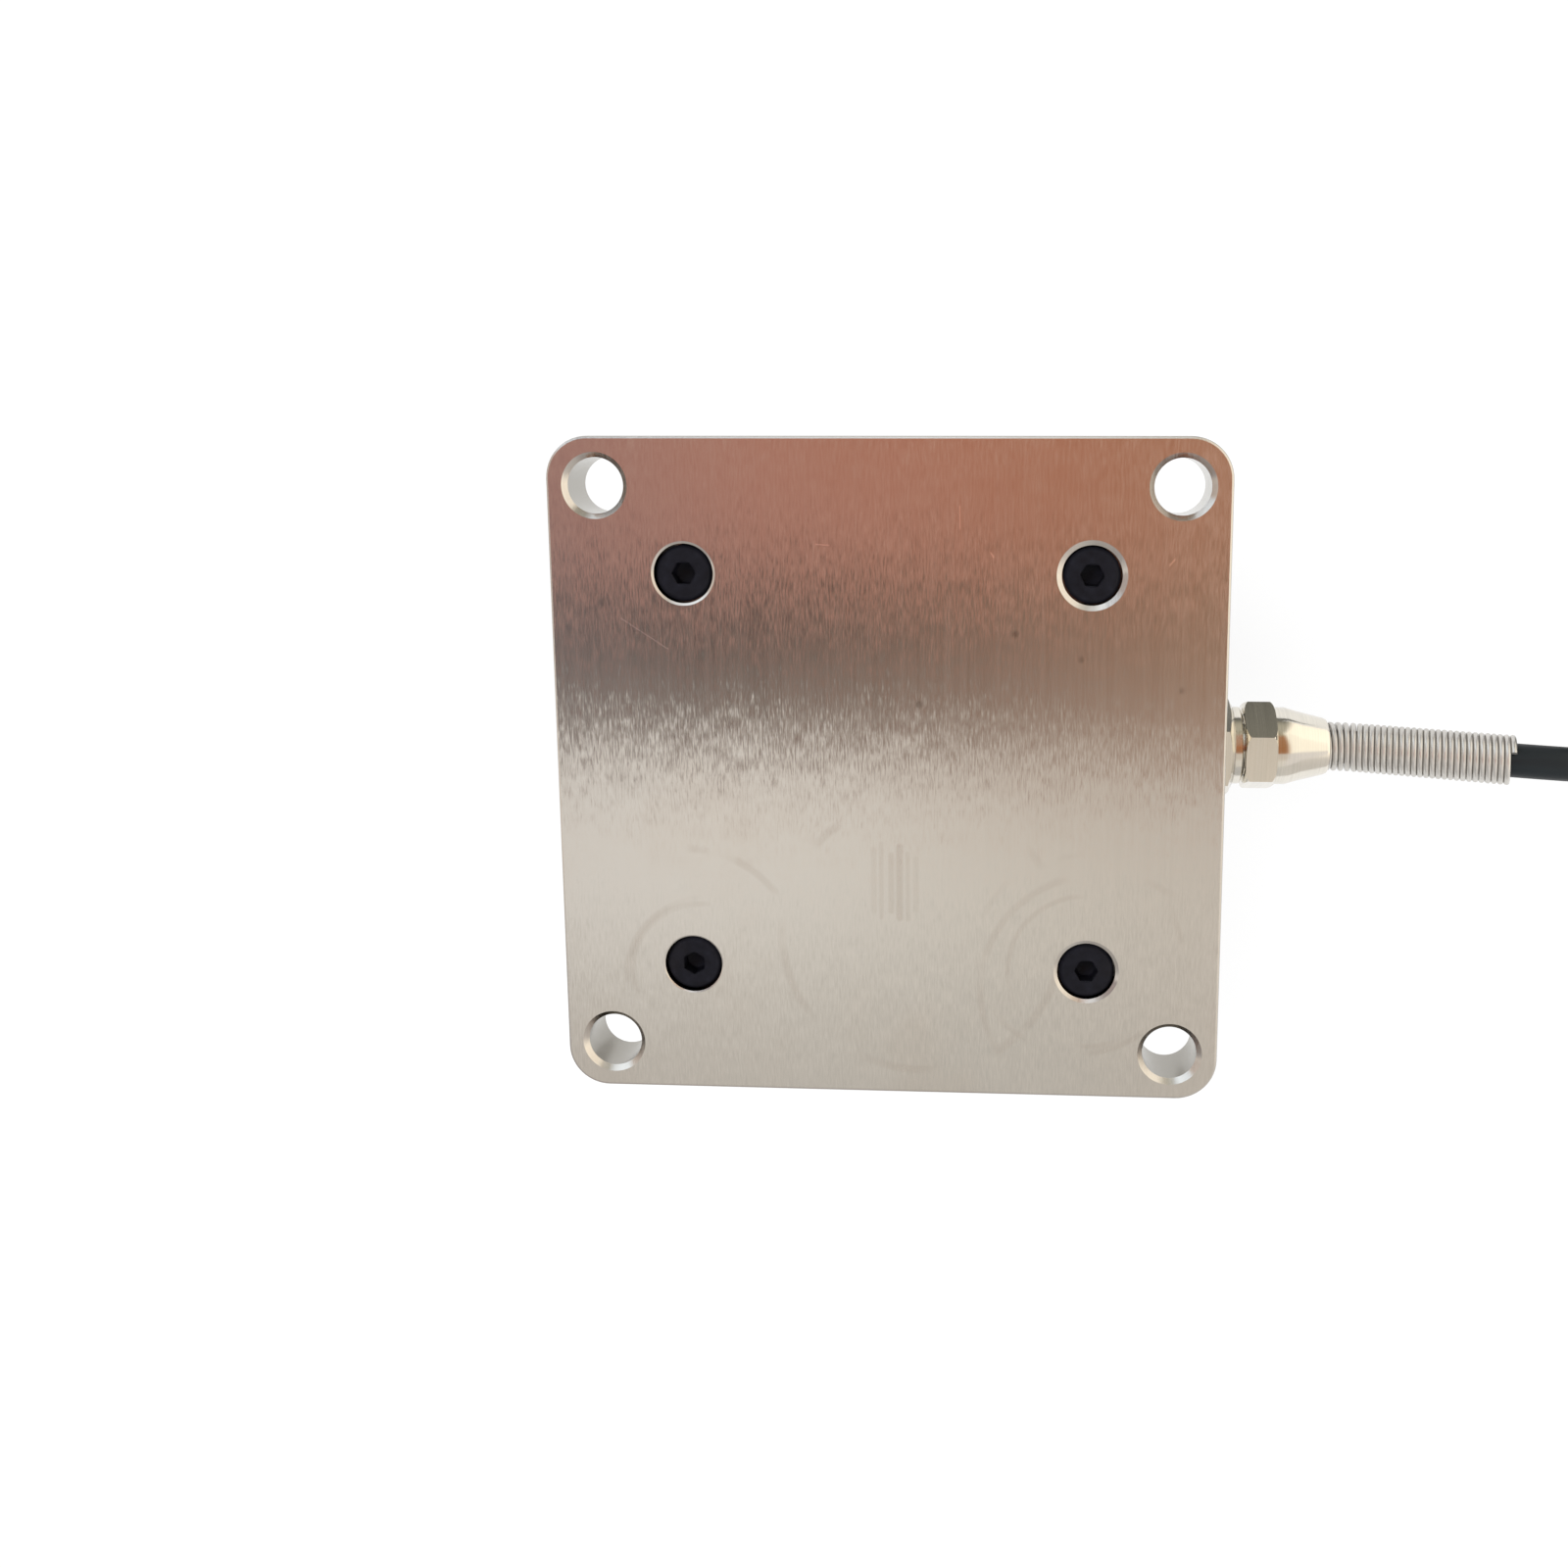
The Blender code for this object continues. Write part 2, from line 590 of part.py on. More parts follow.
def build_covers():
    upper = cylinder(
        "upper_cover",
        2 * COVER_RADIUS,
        COVER_THICKNESS,
        MACHINED,
        (0.0, 0.0, BODY_TOP - COVER_THICKNESS / 2),
        sides=FULL_ROUND,
    )
    tapping = BOARD_SCREW_DIAMETER + 2 * SEAT
    for i, (x, y) in enumerate(board_screw_places()):
        place = (x, y, COVER_UNDERSIDE)
        join_or_cut(upper, cylinder(f"cover_tapping_{i + 1}", tapping, COVER_THICKNESS, None, place))
    hole = HUB_DIAMETER / 2 + 2 * SEAT + SEAL_WIDTH
    high = BODY_BOTTOM + COVER_THICKNESS
    ring = [(hole, high), (COVER_RADIUS, high), (COVER_RADIUS, BODY_BOTTOM), (hole, BODY_BOTTOM)]
    turned("lower_cover", ring, MACHINED, ring=True, sides=FULL_ROUND)
    inside = HUB_DIAMETER / 2 + SEAT
    outside = inside + SEAL_WIDTH
    low = BODY_BOTTOM + (COVER_THICKNESS - SEAL_HEIGHT) / 2
    high = low + SEAL_HEIGHT
    seal = [(inside, high), (outside, high), (outside, low), (inside, low)]
    turned("hub_seal", seal, RUBBER, ring=True)


def build_load_plate():
    edge = LOAD_PLATE_DIAMETER / 2
    profile = [
        (0.0, LOAD_PLATE_TOP),
        (edge - EDGE_BREAK, LOAD_PLATE_TOP),
        (edge, LOAD_PLATE_TOP - EDGE_BREAK),
        (edge, EDGE_BREAK),
        (edge - EDGE_BREAK, 0.0),
        (0.0, 0.0),
    ]
    plate = turned("load_plate", profile, MACHINED, sides=FULL_ROUND)
    for i, (x, y, _) in enumerate(around(LOAD_SCREW_CIRCLE / 2, SPOKE_COUNT, SPOKE_FIRST_ANGLE)):
        join_or_cut(plate, counterbore(f"load_counterbore_{i + 1}", 0.0, -1, (x, y)))
    for i, (x, y, _) in enumerate(around(USER_HOLE_CIRCLE / 2, 4)):
        hole = chamfered_hole(
            f"user_hole_{i + 1}",
            USER_HOLE_DIAMETER,
            EDGE_BREAK,
            0.0,
            LOAD_PLATE_TOP,
            (x, y, 0.0),
            SMALL_ROUND,
        )
        join_or_cut(plate, hole)
    pin_deep = PIN_LENGTH / 2 + SEAT
    for i, (x, y, _) in enumerate(around(PIN_CIRCLE / 2, 2)):
        place = (x, y, LOAD_PLATE_TOP - pin_deep / 2 + 0.0005)
        hole = cylinder(f"load_pin_hole_{i + 1}", PIN_DIAMETER + 2 * SEAT, pin_deep + 0.001, None, place)
        join_or_cut(plate, hole)


def build_load_screws():
    seat = LOAD_SCREW_RECESS + SCREW_HEAD_HEIGHT
    mesh = screw_mesh("load_screw", HUB_BOTTOM - seat + SCREW_ENGAGEMENT)
    mesh.materials.append(BLACK_OXIDE)
    places = around(LOAD_SCREW_CIRCLE / 2, SPOKE_COUNT, SPOKE_FIRST_ANGLE)
    for i, (x, y, angle) in enumerate(places):
        obj = bpy.data.objects.new(f"load_screw_{i + 1}", mesh)
        obj.location = (x, y, seat - SEAT / 2)
        obj.rotation_euler = (math.pi, 0.0, angle)
        PARTS.objects.link(obj)
    for i, (x, y, _) in enumerate(around(PIN_CIRCLE / 2, 2)):
        middle = (LOAD_PLATE_TOP + HUB_BOTTOM) / 2
        cylinder(f"locating_pin_{i + 1}", PIN_DIAMETER, PIN_LENGTH, MACHINED, (x, y, middle))


def board_screw_places():
    x = (BOARD_INNER_X + BOARD_OUTER_X) / 2
    return [(x, -BOARD_SCREW_PITCH / 2), (x, BOARD_SCREW_PITCH / 2)]


def build_bridge_board():
    """The board that trims the bridge, held under the upper cover on two spacers."""
    x = (BOARD_INNER_X + BOARD_OUTER_X) / 2
    middle = BOARD_TOP - BOARD_THICKNESS / 2
    size = (BOARD_LENGTH, BOARD_WIDTH, BOARD_THICKNESS)
    board = block("bridge_board", size, BOARD, (x, 0.0, middle))
    free = BOARD_SCREW_DIAMETER + 2 * SEAT
    head = BOARD_SCREW_HEAD_DIAMETER / 2
    shank = BOARD_SCREW_DIAMETER / 2
    spacer_low = BOARD_TOP + SEAT
    spacer_high = spacer_low + SPACER_LENGTH
    for i, place in enumerate(board_screw_places()):
        join_or_cut(board, cylinder(f"board_hole_{i + 1}", free, 0.004, None, (*place, middle)))
        bore = [
            (free / 2, spacer_high),
            (SPACER_DIAMETER / 2, spacer_high),
            (SPACER_DIAMETER / 2, spacer_low),
            (free / 2, spacer_low),
        ]
        turned(f"board_spacer_{i + 1}", bore, NICKEL, (*place, 0.0), ring=True, sides=SMALL_ROUND)
        under = BOARD_BOTTOM - SEAT
        screw = [
            (0.0, spacer_high - SEAT),
            (shank, spacer_high - SEAT),
            (shank, under),
            (head, under),
            (head, under - BOARD_SCREW_HEAD_HEIGHT / 2),
            (head / 2, under - BOARD_SCREW_HEAD_HEIGHT),
            (0.0, under - BOARD_SCREW_HEAD_HEIGHT),
        ]
        turned(f"board_screw_{i + 1}", screw, NICKEL, (*place, 0.0), sides=SMALL_ROUND)


def build_cores():
    """The cable's four cores, from its stripped end up to pads under the board's outer edge."""
    pad = BOARD_BOTTOM - SEAT
    edge = BOARD_OUTER_X
    for i, (colour, finish) in enumerate(WIRE_COLOURS.items()):
        y = (i - 1.5) * CORE_PITCH
        start = Vector((CABLE_START_X - SEAT, y * 0.75, AXIS_Z))
        route = [
            start,
            start + Vector((-0.0015, 0.0, 0.0004)),
            Vector((edge - 0.0005, y, (AXIS_Z + pad) / 2)),
            Vector((edge - 0.0015, y * 1.3, pad - CORE_DIAMETER)),
            Vector((edge - 0.0015, y * 1.3, pad)),
        ]
        tube(f"core_{colour}", smooth_route(route, 1.4 * CORE_DIAMETER), CORE_DIAMETER, finish, rings=1)


def hexagon_with_chamfer(name, flats, low, high, chamfer_from, hex_turn, ends):
    """A hexagonal bar along X, turned down to a cone at the ends listed from the radius given."""
    corner = flats / math.cos(math.radians(30)) / 2
    turn = X_AXIS.copy()
    turn.rotate_axis("Z", hex_turn)
    bar = cylinder(name, 2 * corner, high - low, NICKEL, ((low + high) / 2, 0.0, AXIS_Z), turn, sides=6)
    past = 0.0005
    wide = corner + past
    drop = (wide - chamfer_from) * HEX_CHAMFER_SLOPE
    profile = [(0.0, high), (chamfer_from, high), (wide, high - drop)]
    if "high" not in ends:
        profile = [(0.0, high + past), (wide, high + past)]
    if "low" in ends:
        profile += [(wide, low + drop), (chamfer_from, low), (0.0, low)]
    else:
        profile += [(wide, low - past), (0.0, low - past)]
    join_or_cut(bar, turned(name + "_chamfer", profile, None, (0.0, 0.0, AXIS_Z), X_AXIS), "INTERSECT")
    return bar


def build_gland_body():
    """Threaded spigot in the rim, hexagon, neck and the male thread that the nut covers."""
    shoulder = NECK_DIAMETER / 2 + 0.0001
    ends = ("high",)
    body = hexagon_with_chamfer(
        "gland_body", BODY_HEX_FLATS, BODY_HEX_X, NECK_X, shoulder, BODY_HEX_TURN, ends
    )
    inner = RIM_INNER_DIAMETER / 2
    neck = NECK_DIAMETER / 2
    thread = NUT_THREAD_DIAMETER / 2
    spigot = GLAND_THREAD_DIAMETER / 2
    neck_end = NECK_X + NECK_LENGTH
    core = [
        (0.0, NUT_THREAD_X),
        (thread, NUT_THREAD_X),
        (thread, neck_end),
        (neck, neck_end),
        (neck, BODY_HEX_X + BODY_HEX_LENGTH / 2),
        (spigot, BODY_HEX_X + BODY_HEX_LENGTH / 2),
        (spigot, inner),
        (0.0, inner),
    ]
    place = (0.0, 0.0, AXIS_Z)
    join_or_cut(body, turned("gland_core", core, None, place, X_AXIS), "UNION")
    bore_middle = ((inner + NUT_THREAD_X) / 2, 0.0, AXIS_Z)
    bore_length = NUT_THREAD_X - inner + 0.004
    join_or_cut(body, cylinder("gland_body_bore", GLAND_BORE, bore_length, None, bore_middle, X_AXIS))


def build_gland_washer():
    low = SPOTFACE_X + SEAT
    high = low + WASHER_THICKNESS
    hole = GLAND_THREAD_DIAMETER / 2 + SEAT
    ring = [(hole, high), (WASHER_DIAMETER / 2, high), (WASHER_DIAMETER / 2, low), (hole, low)]
    turned("gland_washer", ring, RUBBER, (0.0, 0.0, AXIS_Z), X_AXIS, ring=True)


def build_gland_bush():
    ring = [
        (GLAND_BORE / 2, BUSH_END_X),
        (NUT_THREAD_DIAMETER / 2, BUSH_END_X),
        (NUT_THREAD_DIAMETER / 2, BUSH_X),
        (GLAND_BORE / 2, BUSH_X),
    ]
    turned("gland_bush", ring, RUBBER, (0.0, 0.0, AXIS_Z), X_AXIS, ring=True)


def build_gland_nut():
    """Hexagon, collar and cone in one piece, bored for the thread, the cable and the spring's mouth."""
    shoulder = NUT_HEX_FLATS / 2
    ends = ("low", "high")
    nut = hexagon_with_chamfer("gland_nut", NUT_HEX_FLATS, NUT_X, COLLAR_X, shoulder, NUT_HEX_TURN, ends)
    collar = NECK_DIAMETER / 2
    nose = NOSE_DIAMETER / 2
    outside = [
        (0.0, NOSE_X),
        (nose - NOSE_BEVEL / 4, NOSE_X),
        (nose + NOSE_BEVEL / 6, NOSE_X - NOSE_BEVEL / 3),
        (nose + NOSE_BEVEL / 2, NOSE_X - NOSE_BEVEL),
        (collar, CONE_X),
        (collar, COLLAR_X - NUT_HEX_LENGTH / 2),
        (0.0, COLLAR_X - NUT_HEX_LENGTH / 2),
    ]
    place = (0.0, 0.0, AXIS_Z)
    join_or_cut(nut, turned("nut_cone", outside, None, place, X_AXIS), "UNION")
    past = 0.001
    inside = [
        (0.0, NOSE_X + past),
        (MOUTH_DIAMETER / 2, NOSE_X + past),
        (MOUTH_DIAMETER / 2, MOUTH_X),
        (GLAND_BORE / 2, MOUTH_X),
        (GLAND_BORE / 2, BUSH_END_X + SEAT),
        (NUT_BORE / 2, BUSH_END_X + SEAT),
        (NUT_BORE / 2, NUT_X - past),
        (0.0, NUT_X - past),
    ]
    join_or_cut(nut, turned("nut_bore", inside, None, place, X_AXIS))


def spring_axis(along):
    """Where the spring's centre line is, and which way it runs, this far from its first turn."""
    lean = SPRING_LEAN * min(1.0, max(0.0, (along - SPRING_STRAIGHT) / SPRING_BEND))
    bent = min(max(along - SPRING_STRAIGHT, 0.0), SPRING_BEND)
    after = max(along - SPRING_STRAIGHT - SPRING_BEND, 0.0)
    drop = bent * lean / 2 + after * math.sin(SPRING_LEAN)
    advance = min(along, SPRING_STRAIGHT + SPRING_BEND) + after * math.cos(SPRING_LEAN)
    place = Vector((SPRING_X + advance, -drop, AXIS_Z))
    return place, Vector((math.cos(lean), -math.sin(lean), 0.0))


def build_spring():
    """The close-wound strain relief, one wire from the cone's mouth to its free end."""
    radius = (SPRING_INNER + SPRING_WIRE) / 2
    up = Vector((0.0, 0.0, 1.0))
    points = []
    for i in range(round(SPRING_TURNS * SPRING_STEPS) + 1):
        turn = i / SPRING_STEPS
        centre, along = spring_axis(turn * SPRING_PITCH)
        aside = up.cross(along)
        angle = SPRING_END_TURN + (SPRING_TURNS - turn) * math.tau
        points.append(centre + radius * (math.cos(angle) * up + math.sin(angle) * aside))
    tube("strain_relief_spring", points, SPRING_WIRE, SPRING_STEEL, rings=1)


def build_cable():
    tube("cable", smooth_route(CABLE_ROUTE, ROUTE_STEP), CABLE_DIAMETER, JACKET, rings=3)
    low, high = 0.0, COIL_HEIGHT
    inner = COIL_MEAN_RADIUS - COIL_HALF_WIDTH
    outer = COIL_MEAN_RADIUS + COIL_HALF_WIDTH
    ease = CABLE_DIAMETER / 2
    ring = []
    corners = ((inner + ease, high - ease, 180), (outer - ease, high - ease, 90))
    corners += ((outer - ease, low + ease, 0), (inner + ease, low + ease, -90))
    for radius, height, first in corners:
        for i in range(3):
            angle = math.radians(first - 45 * i)
            ring.append((radius + ease * math.cos(angle), height + ease * math.sin(angle)))
    turned("cable_coil", ring, JACKET, COIL_CENTRE, ring=True, sides=36)


def on_coil(radius, angle, height):
    return COIL_CENTRE + Vector((radius * math.cos(angle), radius * math.sin(angle), height))


def build_free_end():
    """The end of the cable beside the coil: jacket, sleeve and four stripped leads."""
    height = CABLE_DIAMETER / 2 + SEAT
    count = 5
    angles = [TAIL_FROM + (TAIL_TO - TAIL_FROM) * i / count for i in range(count + 1)]
    tube("cable_tail", [on_coil(TAIL_RADIUS, a, height) for a in angles], CABLE_DIAMETER, JACKET, rings=3)
    end = on_coil(TAIL_RADIUS, TAIL_TO, height)
    ahead = Vector((-math.sin(TAIL_TO), math.cos(TAIL_TO), 0.0))
    aside = Vector((ahead.y, -ahead.x, 0.0))
    sleeve_height = SLEEVE_DIAMETER / 2 + SEAT
    centre = end + (SEAT + SLEEVE_LENGTH / 2) * ahead
    centre.z = sleeve_height
    turn = Euler((math.radians(90), 0.0, math.atan2(ahead.y, ahead.x) - math.radians(90)))
    cylinder("cable_end_sleeve", SLEEVE_DIAMETER, SLEEVE_LENGTH, RUBBER, centre, turn)
    face = centre + (SLEEVE_LENGTH / 2 + SEAT) * ahead
    for i, (colour, finish) in enumerate(WIRE_COLOURS.items()):
        out = LEAD_OFFSET * (1 if i % 2 else -1)
        rise = LEAD_OFFSET * (1 if i > 1 else -1)
        start = face + out * aside + Vector((0.0, 0.0, rise))
        spread = (i - 1.5) * LEAD_SPLAY
        floor = LEAD_DIAMETER / 2 + SEAT
        route = [
            start,
            start + LEAD_LENGTH * 0.2 * ahead,
            face + LEAD_LENGTH * 0.6 * ahead + spread * 0.7 * aside,
            face + LEAD_LENGTH * ahead + spread * aside,
        ]
        route[2].z = (start.z + floor) / 2
        route[3].z = floor
        tube(f"lead_{colour}", smooth_route(route, 2.2 * LEAD_DIAMETER), LEAD_DIAMETER, finish, rings=1)


build_mounting_plate()
build_plate_screws()
build_spoke_body()
build_gauges()
build_covers()
build_load_plate()
build_load_screws()
build_bridge_board()
build_cores()
build_gland_body()
build_gland_washer()
build_gland_bush()
build_gland_nut()
build_spring()
build_cable()
build_free_end()
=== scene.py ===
"""Looks of the strain gauge load cell: detailed pieces, finishes, studio and camera.

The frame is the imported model's: +Z out of the mounting plate's outer face, +X towards the cable
gland, and the floor at z = 0. Sizes of the load cell's pieces are in millimetres. The studio's,
and every size inside a material, are in metres.
"""
import logging
import math
from collections.abc import Callable, Iterable, Sequence
from dataclasses import dataclass
from enum import Enum

import bmesh
import bpy
from bpy.types import Material, Node, NodeSocket, NodeTree, Object
from mathutils import Matrix, Vector


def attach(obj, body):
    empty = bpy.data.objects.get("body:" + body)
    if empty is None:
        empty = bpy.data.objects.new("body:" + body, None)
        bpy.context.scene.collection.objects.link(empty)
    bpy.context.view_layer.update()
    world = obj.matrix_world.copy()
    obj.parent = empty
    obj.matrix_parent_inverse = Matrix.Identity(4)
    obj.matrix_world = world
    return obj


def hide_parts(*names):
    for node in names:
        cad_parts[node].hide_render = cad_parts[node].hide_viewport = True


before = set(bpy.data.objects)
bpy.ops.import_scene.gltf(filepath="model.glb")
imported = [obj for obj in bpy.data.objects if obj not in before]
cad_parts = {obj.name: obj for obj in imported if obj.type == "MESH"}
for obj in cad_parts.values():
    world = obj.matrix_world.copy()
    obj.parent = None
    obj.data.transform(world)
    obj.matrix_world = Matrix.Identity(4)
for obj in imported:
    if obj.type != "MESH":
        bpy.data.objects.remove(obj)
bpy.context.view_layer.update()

LOG = logging.getLogger("load_cell")

MM = 0.001
MERGE = 0.0000005
BODY = "root"
AXIS_Z = 19.7
PAST = 0.5
COS_30 = math.cos(math.radians(30))
HERE = Matrix.Identity(4)
UP = Vector((0.0, 0.0, 1.0))
WHITE = (1.0, 1.0, 1.0)
Profile = Sequence[tuple[float, float]]
Colour = tuple[float, float, float]
Stops = Sequence[tuple[float, Colour]]


def at(x: float, y: float, z: float = 0.0) -> Matrix:
    """A move by millimetres."""
    return Matrix.Translation((x * MM, y * MM, z * MM))


def flat(x: float, y: float) -> tuple[float, float, float]:
    """A place or a way along the plate, from millimetres to metres."""
    return (x * MM, y * MM, 0.0)


def turned_by(degrees: float, axis: str = "Z") -> Matrix:
    """A turn about an axis."""
    return Matrix.Rotation(math.radians(degrees), 4, axis)


def square(pitch: float) -> list[tuple[float, float]]:
    """The four corners of a square, in the order of the solids."""
    return [(x, y) for x in (-pitch / 2, pitch / 2) for y in (-pitch / 2, pitch / 2)]


def around(radius: float, count: int, first: float = 0.0) -> list[tuple[float, float, float]]:
    """Points at equal angles on a circle, as (x, y, angle in degrees)."""
    angles = [(math.radians(a), a) for a in (first + i * 360.0 / count for i in range(count))]
    return [(radius * math.cos(a), radius * math.sin(a), degrees) for a, degrees in angles]


ALONG_X = at(0.0, 0.0, AXIS_Z) @ turned_by(90, "Y")


class Join(Enum):
    """How one solid is worked with another."""

    CUT = "DIFFERENCE"
    KEEP_SHARED = "INTERSECT"
    WELD = "UNION"


class Bench:
    """The machine shop: turned, milled and drawn shapes, made from bmesh operators."""

    @staticmethod
    def link(name: str, data: bpy.types.ID) -> Object:
        """Puts a mesh, curve, lamp or camera into the scene as an object."""
        made = bpy.data.objects.new(name, data)
        bpy.context.scene.collection.objects.link(made)
        return made

    @staticmethod
    def keep(name: str, bm: bmesh.types.BMesh, place: Matrix = HERE) -> Object:
        """Turns a finished bmesh into an object at the origin, with its place in its mesh.

        Args:
            name: The piece's name.
            bm: The shape, which is freed here.
            place: Where the shape goes.

        Returns:
            The object, linked to the scene.
        """
        bmesh.ops.transform(bm, matrix=place, verts=bm.verts)
        bmesh.ops.recalc_face_normals(bm, faces=bm.faces)
        mesh = bpy.data.meshes.new(name)
        bm.to_mesh(mesh)
        bm.free()
        return Bench.shade(Bench.link(name, mesh))

    @staticmethod
    def shade(piece: Object, degrees: float = 28.0) -> Object:
        """Shades a piece smooth, with its edges above an angle kept sharp."""
        piece.data.shade_smooth()
        piece.data.set_sharp_from_angle(angle=math.radians(degrees))
        return piece

    @staticmethod
    def eased(outline: Profile, radius: float, steps: int = 3) -> list[tuple[float, float]]:
        """Rounds the inner corners of an outline.

        Args:
            outline: Points of (radius, height).
            radius: How far from a corner the rounding starts, at most.
            steps: Points on each rounding.

        Returns:
            The outline with a short curve at each corner.
        """
        points = [Vector(p) for p in outline]
        made = [points[0]]
        for before, corner, after in zip(points, points[1:], points[2:]):
            back, ahead = before - corner, after - corner
            reach = min(radius, 0.45 * back.length, 0.45 * ahead.length)
            start = corner + back.normalized() * reach
            end = corner + ahead.normalized() * reach
            for t in (i / steps for i in range(steps + 1)):
                made.append(start * (1 - t) ** 2 + corner * 2 * t * (1 - t) + end * t**2)
        return [(p.x, p.y) for p in (*made, points[-1])]

    @staticmethod
    def turned(
        name: str,
        outline: Profile,
        steps: int,
        place: Matrix = HERE,
        ease: float = 0.0,
        ring: bool = False,
    ) -> Object:
        """Spins an outline about Z.

        Args:
            name: The piece's name.
            outline: Points of (radius, height) from the top down its outer side.
            steps: Facets in a full turn.
            place: Where the shape goes.
            ease: How far from its corners the outline is rounded.
            ring: Whether the outline closes on itself, and not on the axis.

        Returns:
            The turned piece.
        """
        points = list(outline)
        if not ring:
            ends = (points[0], points[-1])
            first, last = ([(0.0, height)] if radius else [] for radius, height in ends)
            points = first + points + last
        if ease:
            points = Bench.eased(points, ease)
        bm = bmesh.new()
        verts = [bm.verts.new((radius * MM, 0.0, height * MM)) for radius, height in points]
        edges = [bm.edges.new(pair) for pair in zip(verts, verts[1:])]
        if ring:
            edges.append(bm.edges.new((verts[-1], verts[0])))
        bmesh.ops.spin(
            bm, geom=verts + edges, cent=(0.0, 0.0, 0.0), axis=UP, dvec=(0.0, 0.0, 0.0),
            angle=math.tau, steps=steps, use_merge=True,
        )
        bmesh.ops.remove_doubles(bm, verts=bm.verts, dist=MERGE)
        bmesh.ops.dissolve_degenerate(bm, edges=bm.edges, dist=MERGE)
        return Bench.keep(name, bm, place)

    @staticmethod
    def hexagon(name: str, flats: float, low: float, high: float, place: Matrix = HERE) -> Object:
        """Extrudes a hexagonal bar between two heights along its own Z.

        Args:
            name: The piece's name.
            flats: Its width across flats.
            low: Its lower end.
            high: Its upper end.
            place: Where the bar goes.

        Returns:
            The bar.
        """
        bm = bmesh.new()
        radius = flats / 2 / COS_30 * MM
        bmesh.ops.create_circle(bm, cap_ends=True, segments=6, radius=radius)
        grown = bmesh.ops.extrude_face_region(bm, geom=bm.faces[:])
        top = [v for v in grown["geom"] if isinstance(v, bmesh.types.BMVert)]
        bmesh.ops.translate(bm, verts=top, vec=(0.0, 0.0, (high - low) * MM))
        bmesh.ops.translate(bm, verts=bm.verts, vec=(0.0, 0.0, low * MM))
        return Bench.keep(name, bm, place)

    @staticmethod
    def work(piece: Object, tools: Iterable[Object], how: Join = Join.CUT) -> Object:
        """Cuts, welds or trims a piece with others, which are used up.

        Args:
            piece: The piece that stays.
            tools: The solids that work on it.
            how: What they do.

        Returns:
            The piece, with the result in its mesh.
        """
        tools = list(tools)
        for tool in tools:
            boolean = piece.modifiers.new(tool.name, "BOOLEAN")
            boolean.operation = how.value
            boolean.solver = "EXACT"
            boolean.object = tool
        bpy.context.view_layer.update()
        shaped = piece.evaluated_get(bpy.context.evaluated_depsgraph_get())
        mesh = bpy.data.meshes.new_from_object(shaped)
        piece.modifiers.clear()
        piece.data = mesh
        mesh.name = piece.name
        for tool in tools:
            bpy.data.objects.remove(tool, do_unlink=True)
        return Bench.shade(piece)

    @staticmethod
    def drawn(name: str, points: Sequence[Vector], diameter: float, rings: int) -> Object:
        """Draws a round wire or cable as one open spline with filled ends.

        Args:
            name: The piece's name.
            points: The chain of points along its middle.
            diameter: Its thickness.
            rings: How finely its section is divided.

        Returns:
            The wire.
        """
        curve = bpy.data.curves.new(name, "CURVE")
        curve.dimensions = "3D"
        curve.bevel_depth = diameter / 2 * MM
        curve.bevel_resolution = rings
        curve.use_fill_caps = True
        spline = curve.splines.new("POLY")
        spline.points.add(len(points) - 1)
        for point, place in zip(spline.points, points):
            point.co = (*(place * MM), 1.0)
        spline.use_smooth = True
        return Bench.link(name, curve)

    @staticmethod
    def smooth_route(points: Sequence[Sequence[float]], step: float) -> list[Vector]:
        """Lays a Catmull-Rom curve through a route's own points.

        Args:
            points: The route.
            step: About how far apart the curve's points are.

        Returns:
            The curve's points.
        """
        ends = [Vector(p) for p in points]
        ends = [2 * ends[0] - ends[1]] + ends + [2 * ends[-1] - ends[-2]]
        made: list[Vector] = []
        for a, b, c, d in zip(ends, ends[1:], ends[2:], ends[3:]):
            count = max(1, round((c - b).length / step))
            for t in (i / count for i in range(count)):
                bend = (2 * a - 5 * b + 4 * c - d) * t**2 + (3 * b - a - 3 * c + d) * t**3
                made.append((2 * b + (c - a) * t + bend) / 2)
        return [*made, ends[-2]]


def hand_over(piece: Object, material: Material, slot: str, *nodes: str) -> Object:
    """Gives a piece its material and its body, and hides the CAD nodes that it stands for.

    Args:
        piece: The finished piece.
        material: Its finish.
        slot: A material slot's name; not used.
        nodes: The CAD nodes that it replaces.

    Returns:
        The same piece.
    """
    piece.data.materials.clear()
    piece.data.materials.append(material)
    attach(piece, BODY)
    if nodes:
        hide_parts(*nodes)
    LOG.info("%s stands for %s", piece.name, ", ".join(nodes) or "nothing in the solids")
    return piece


# Finishes


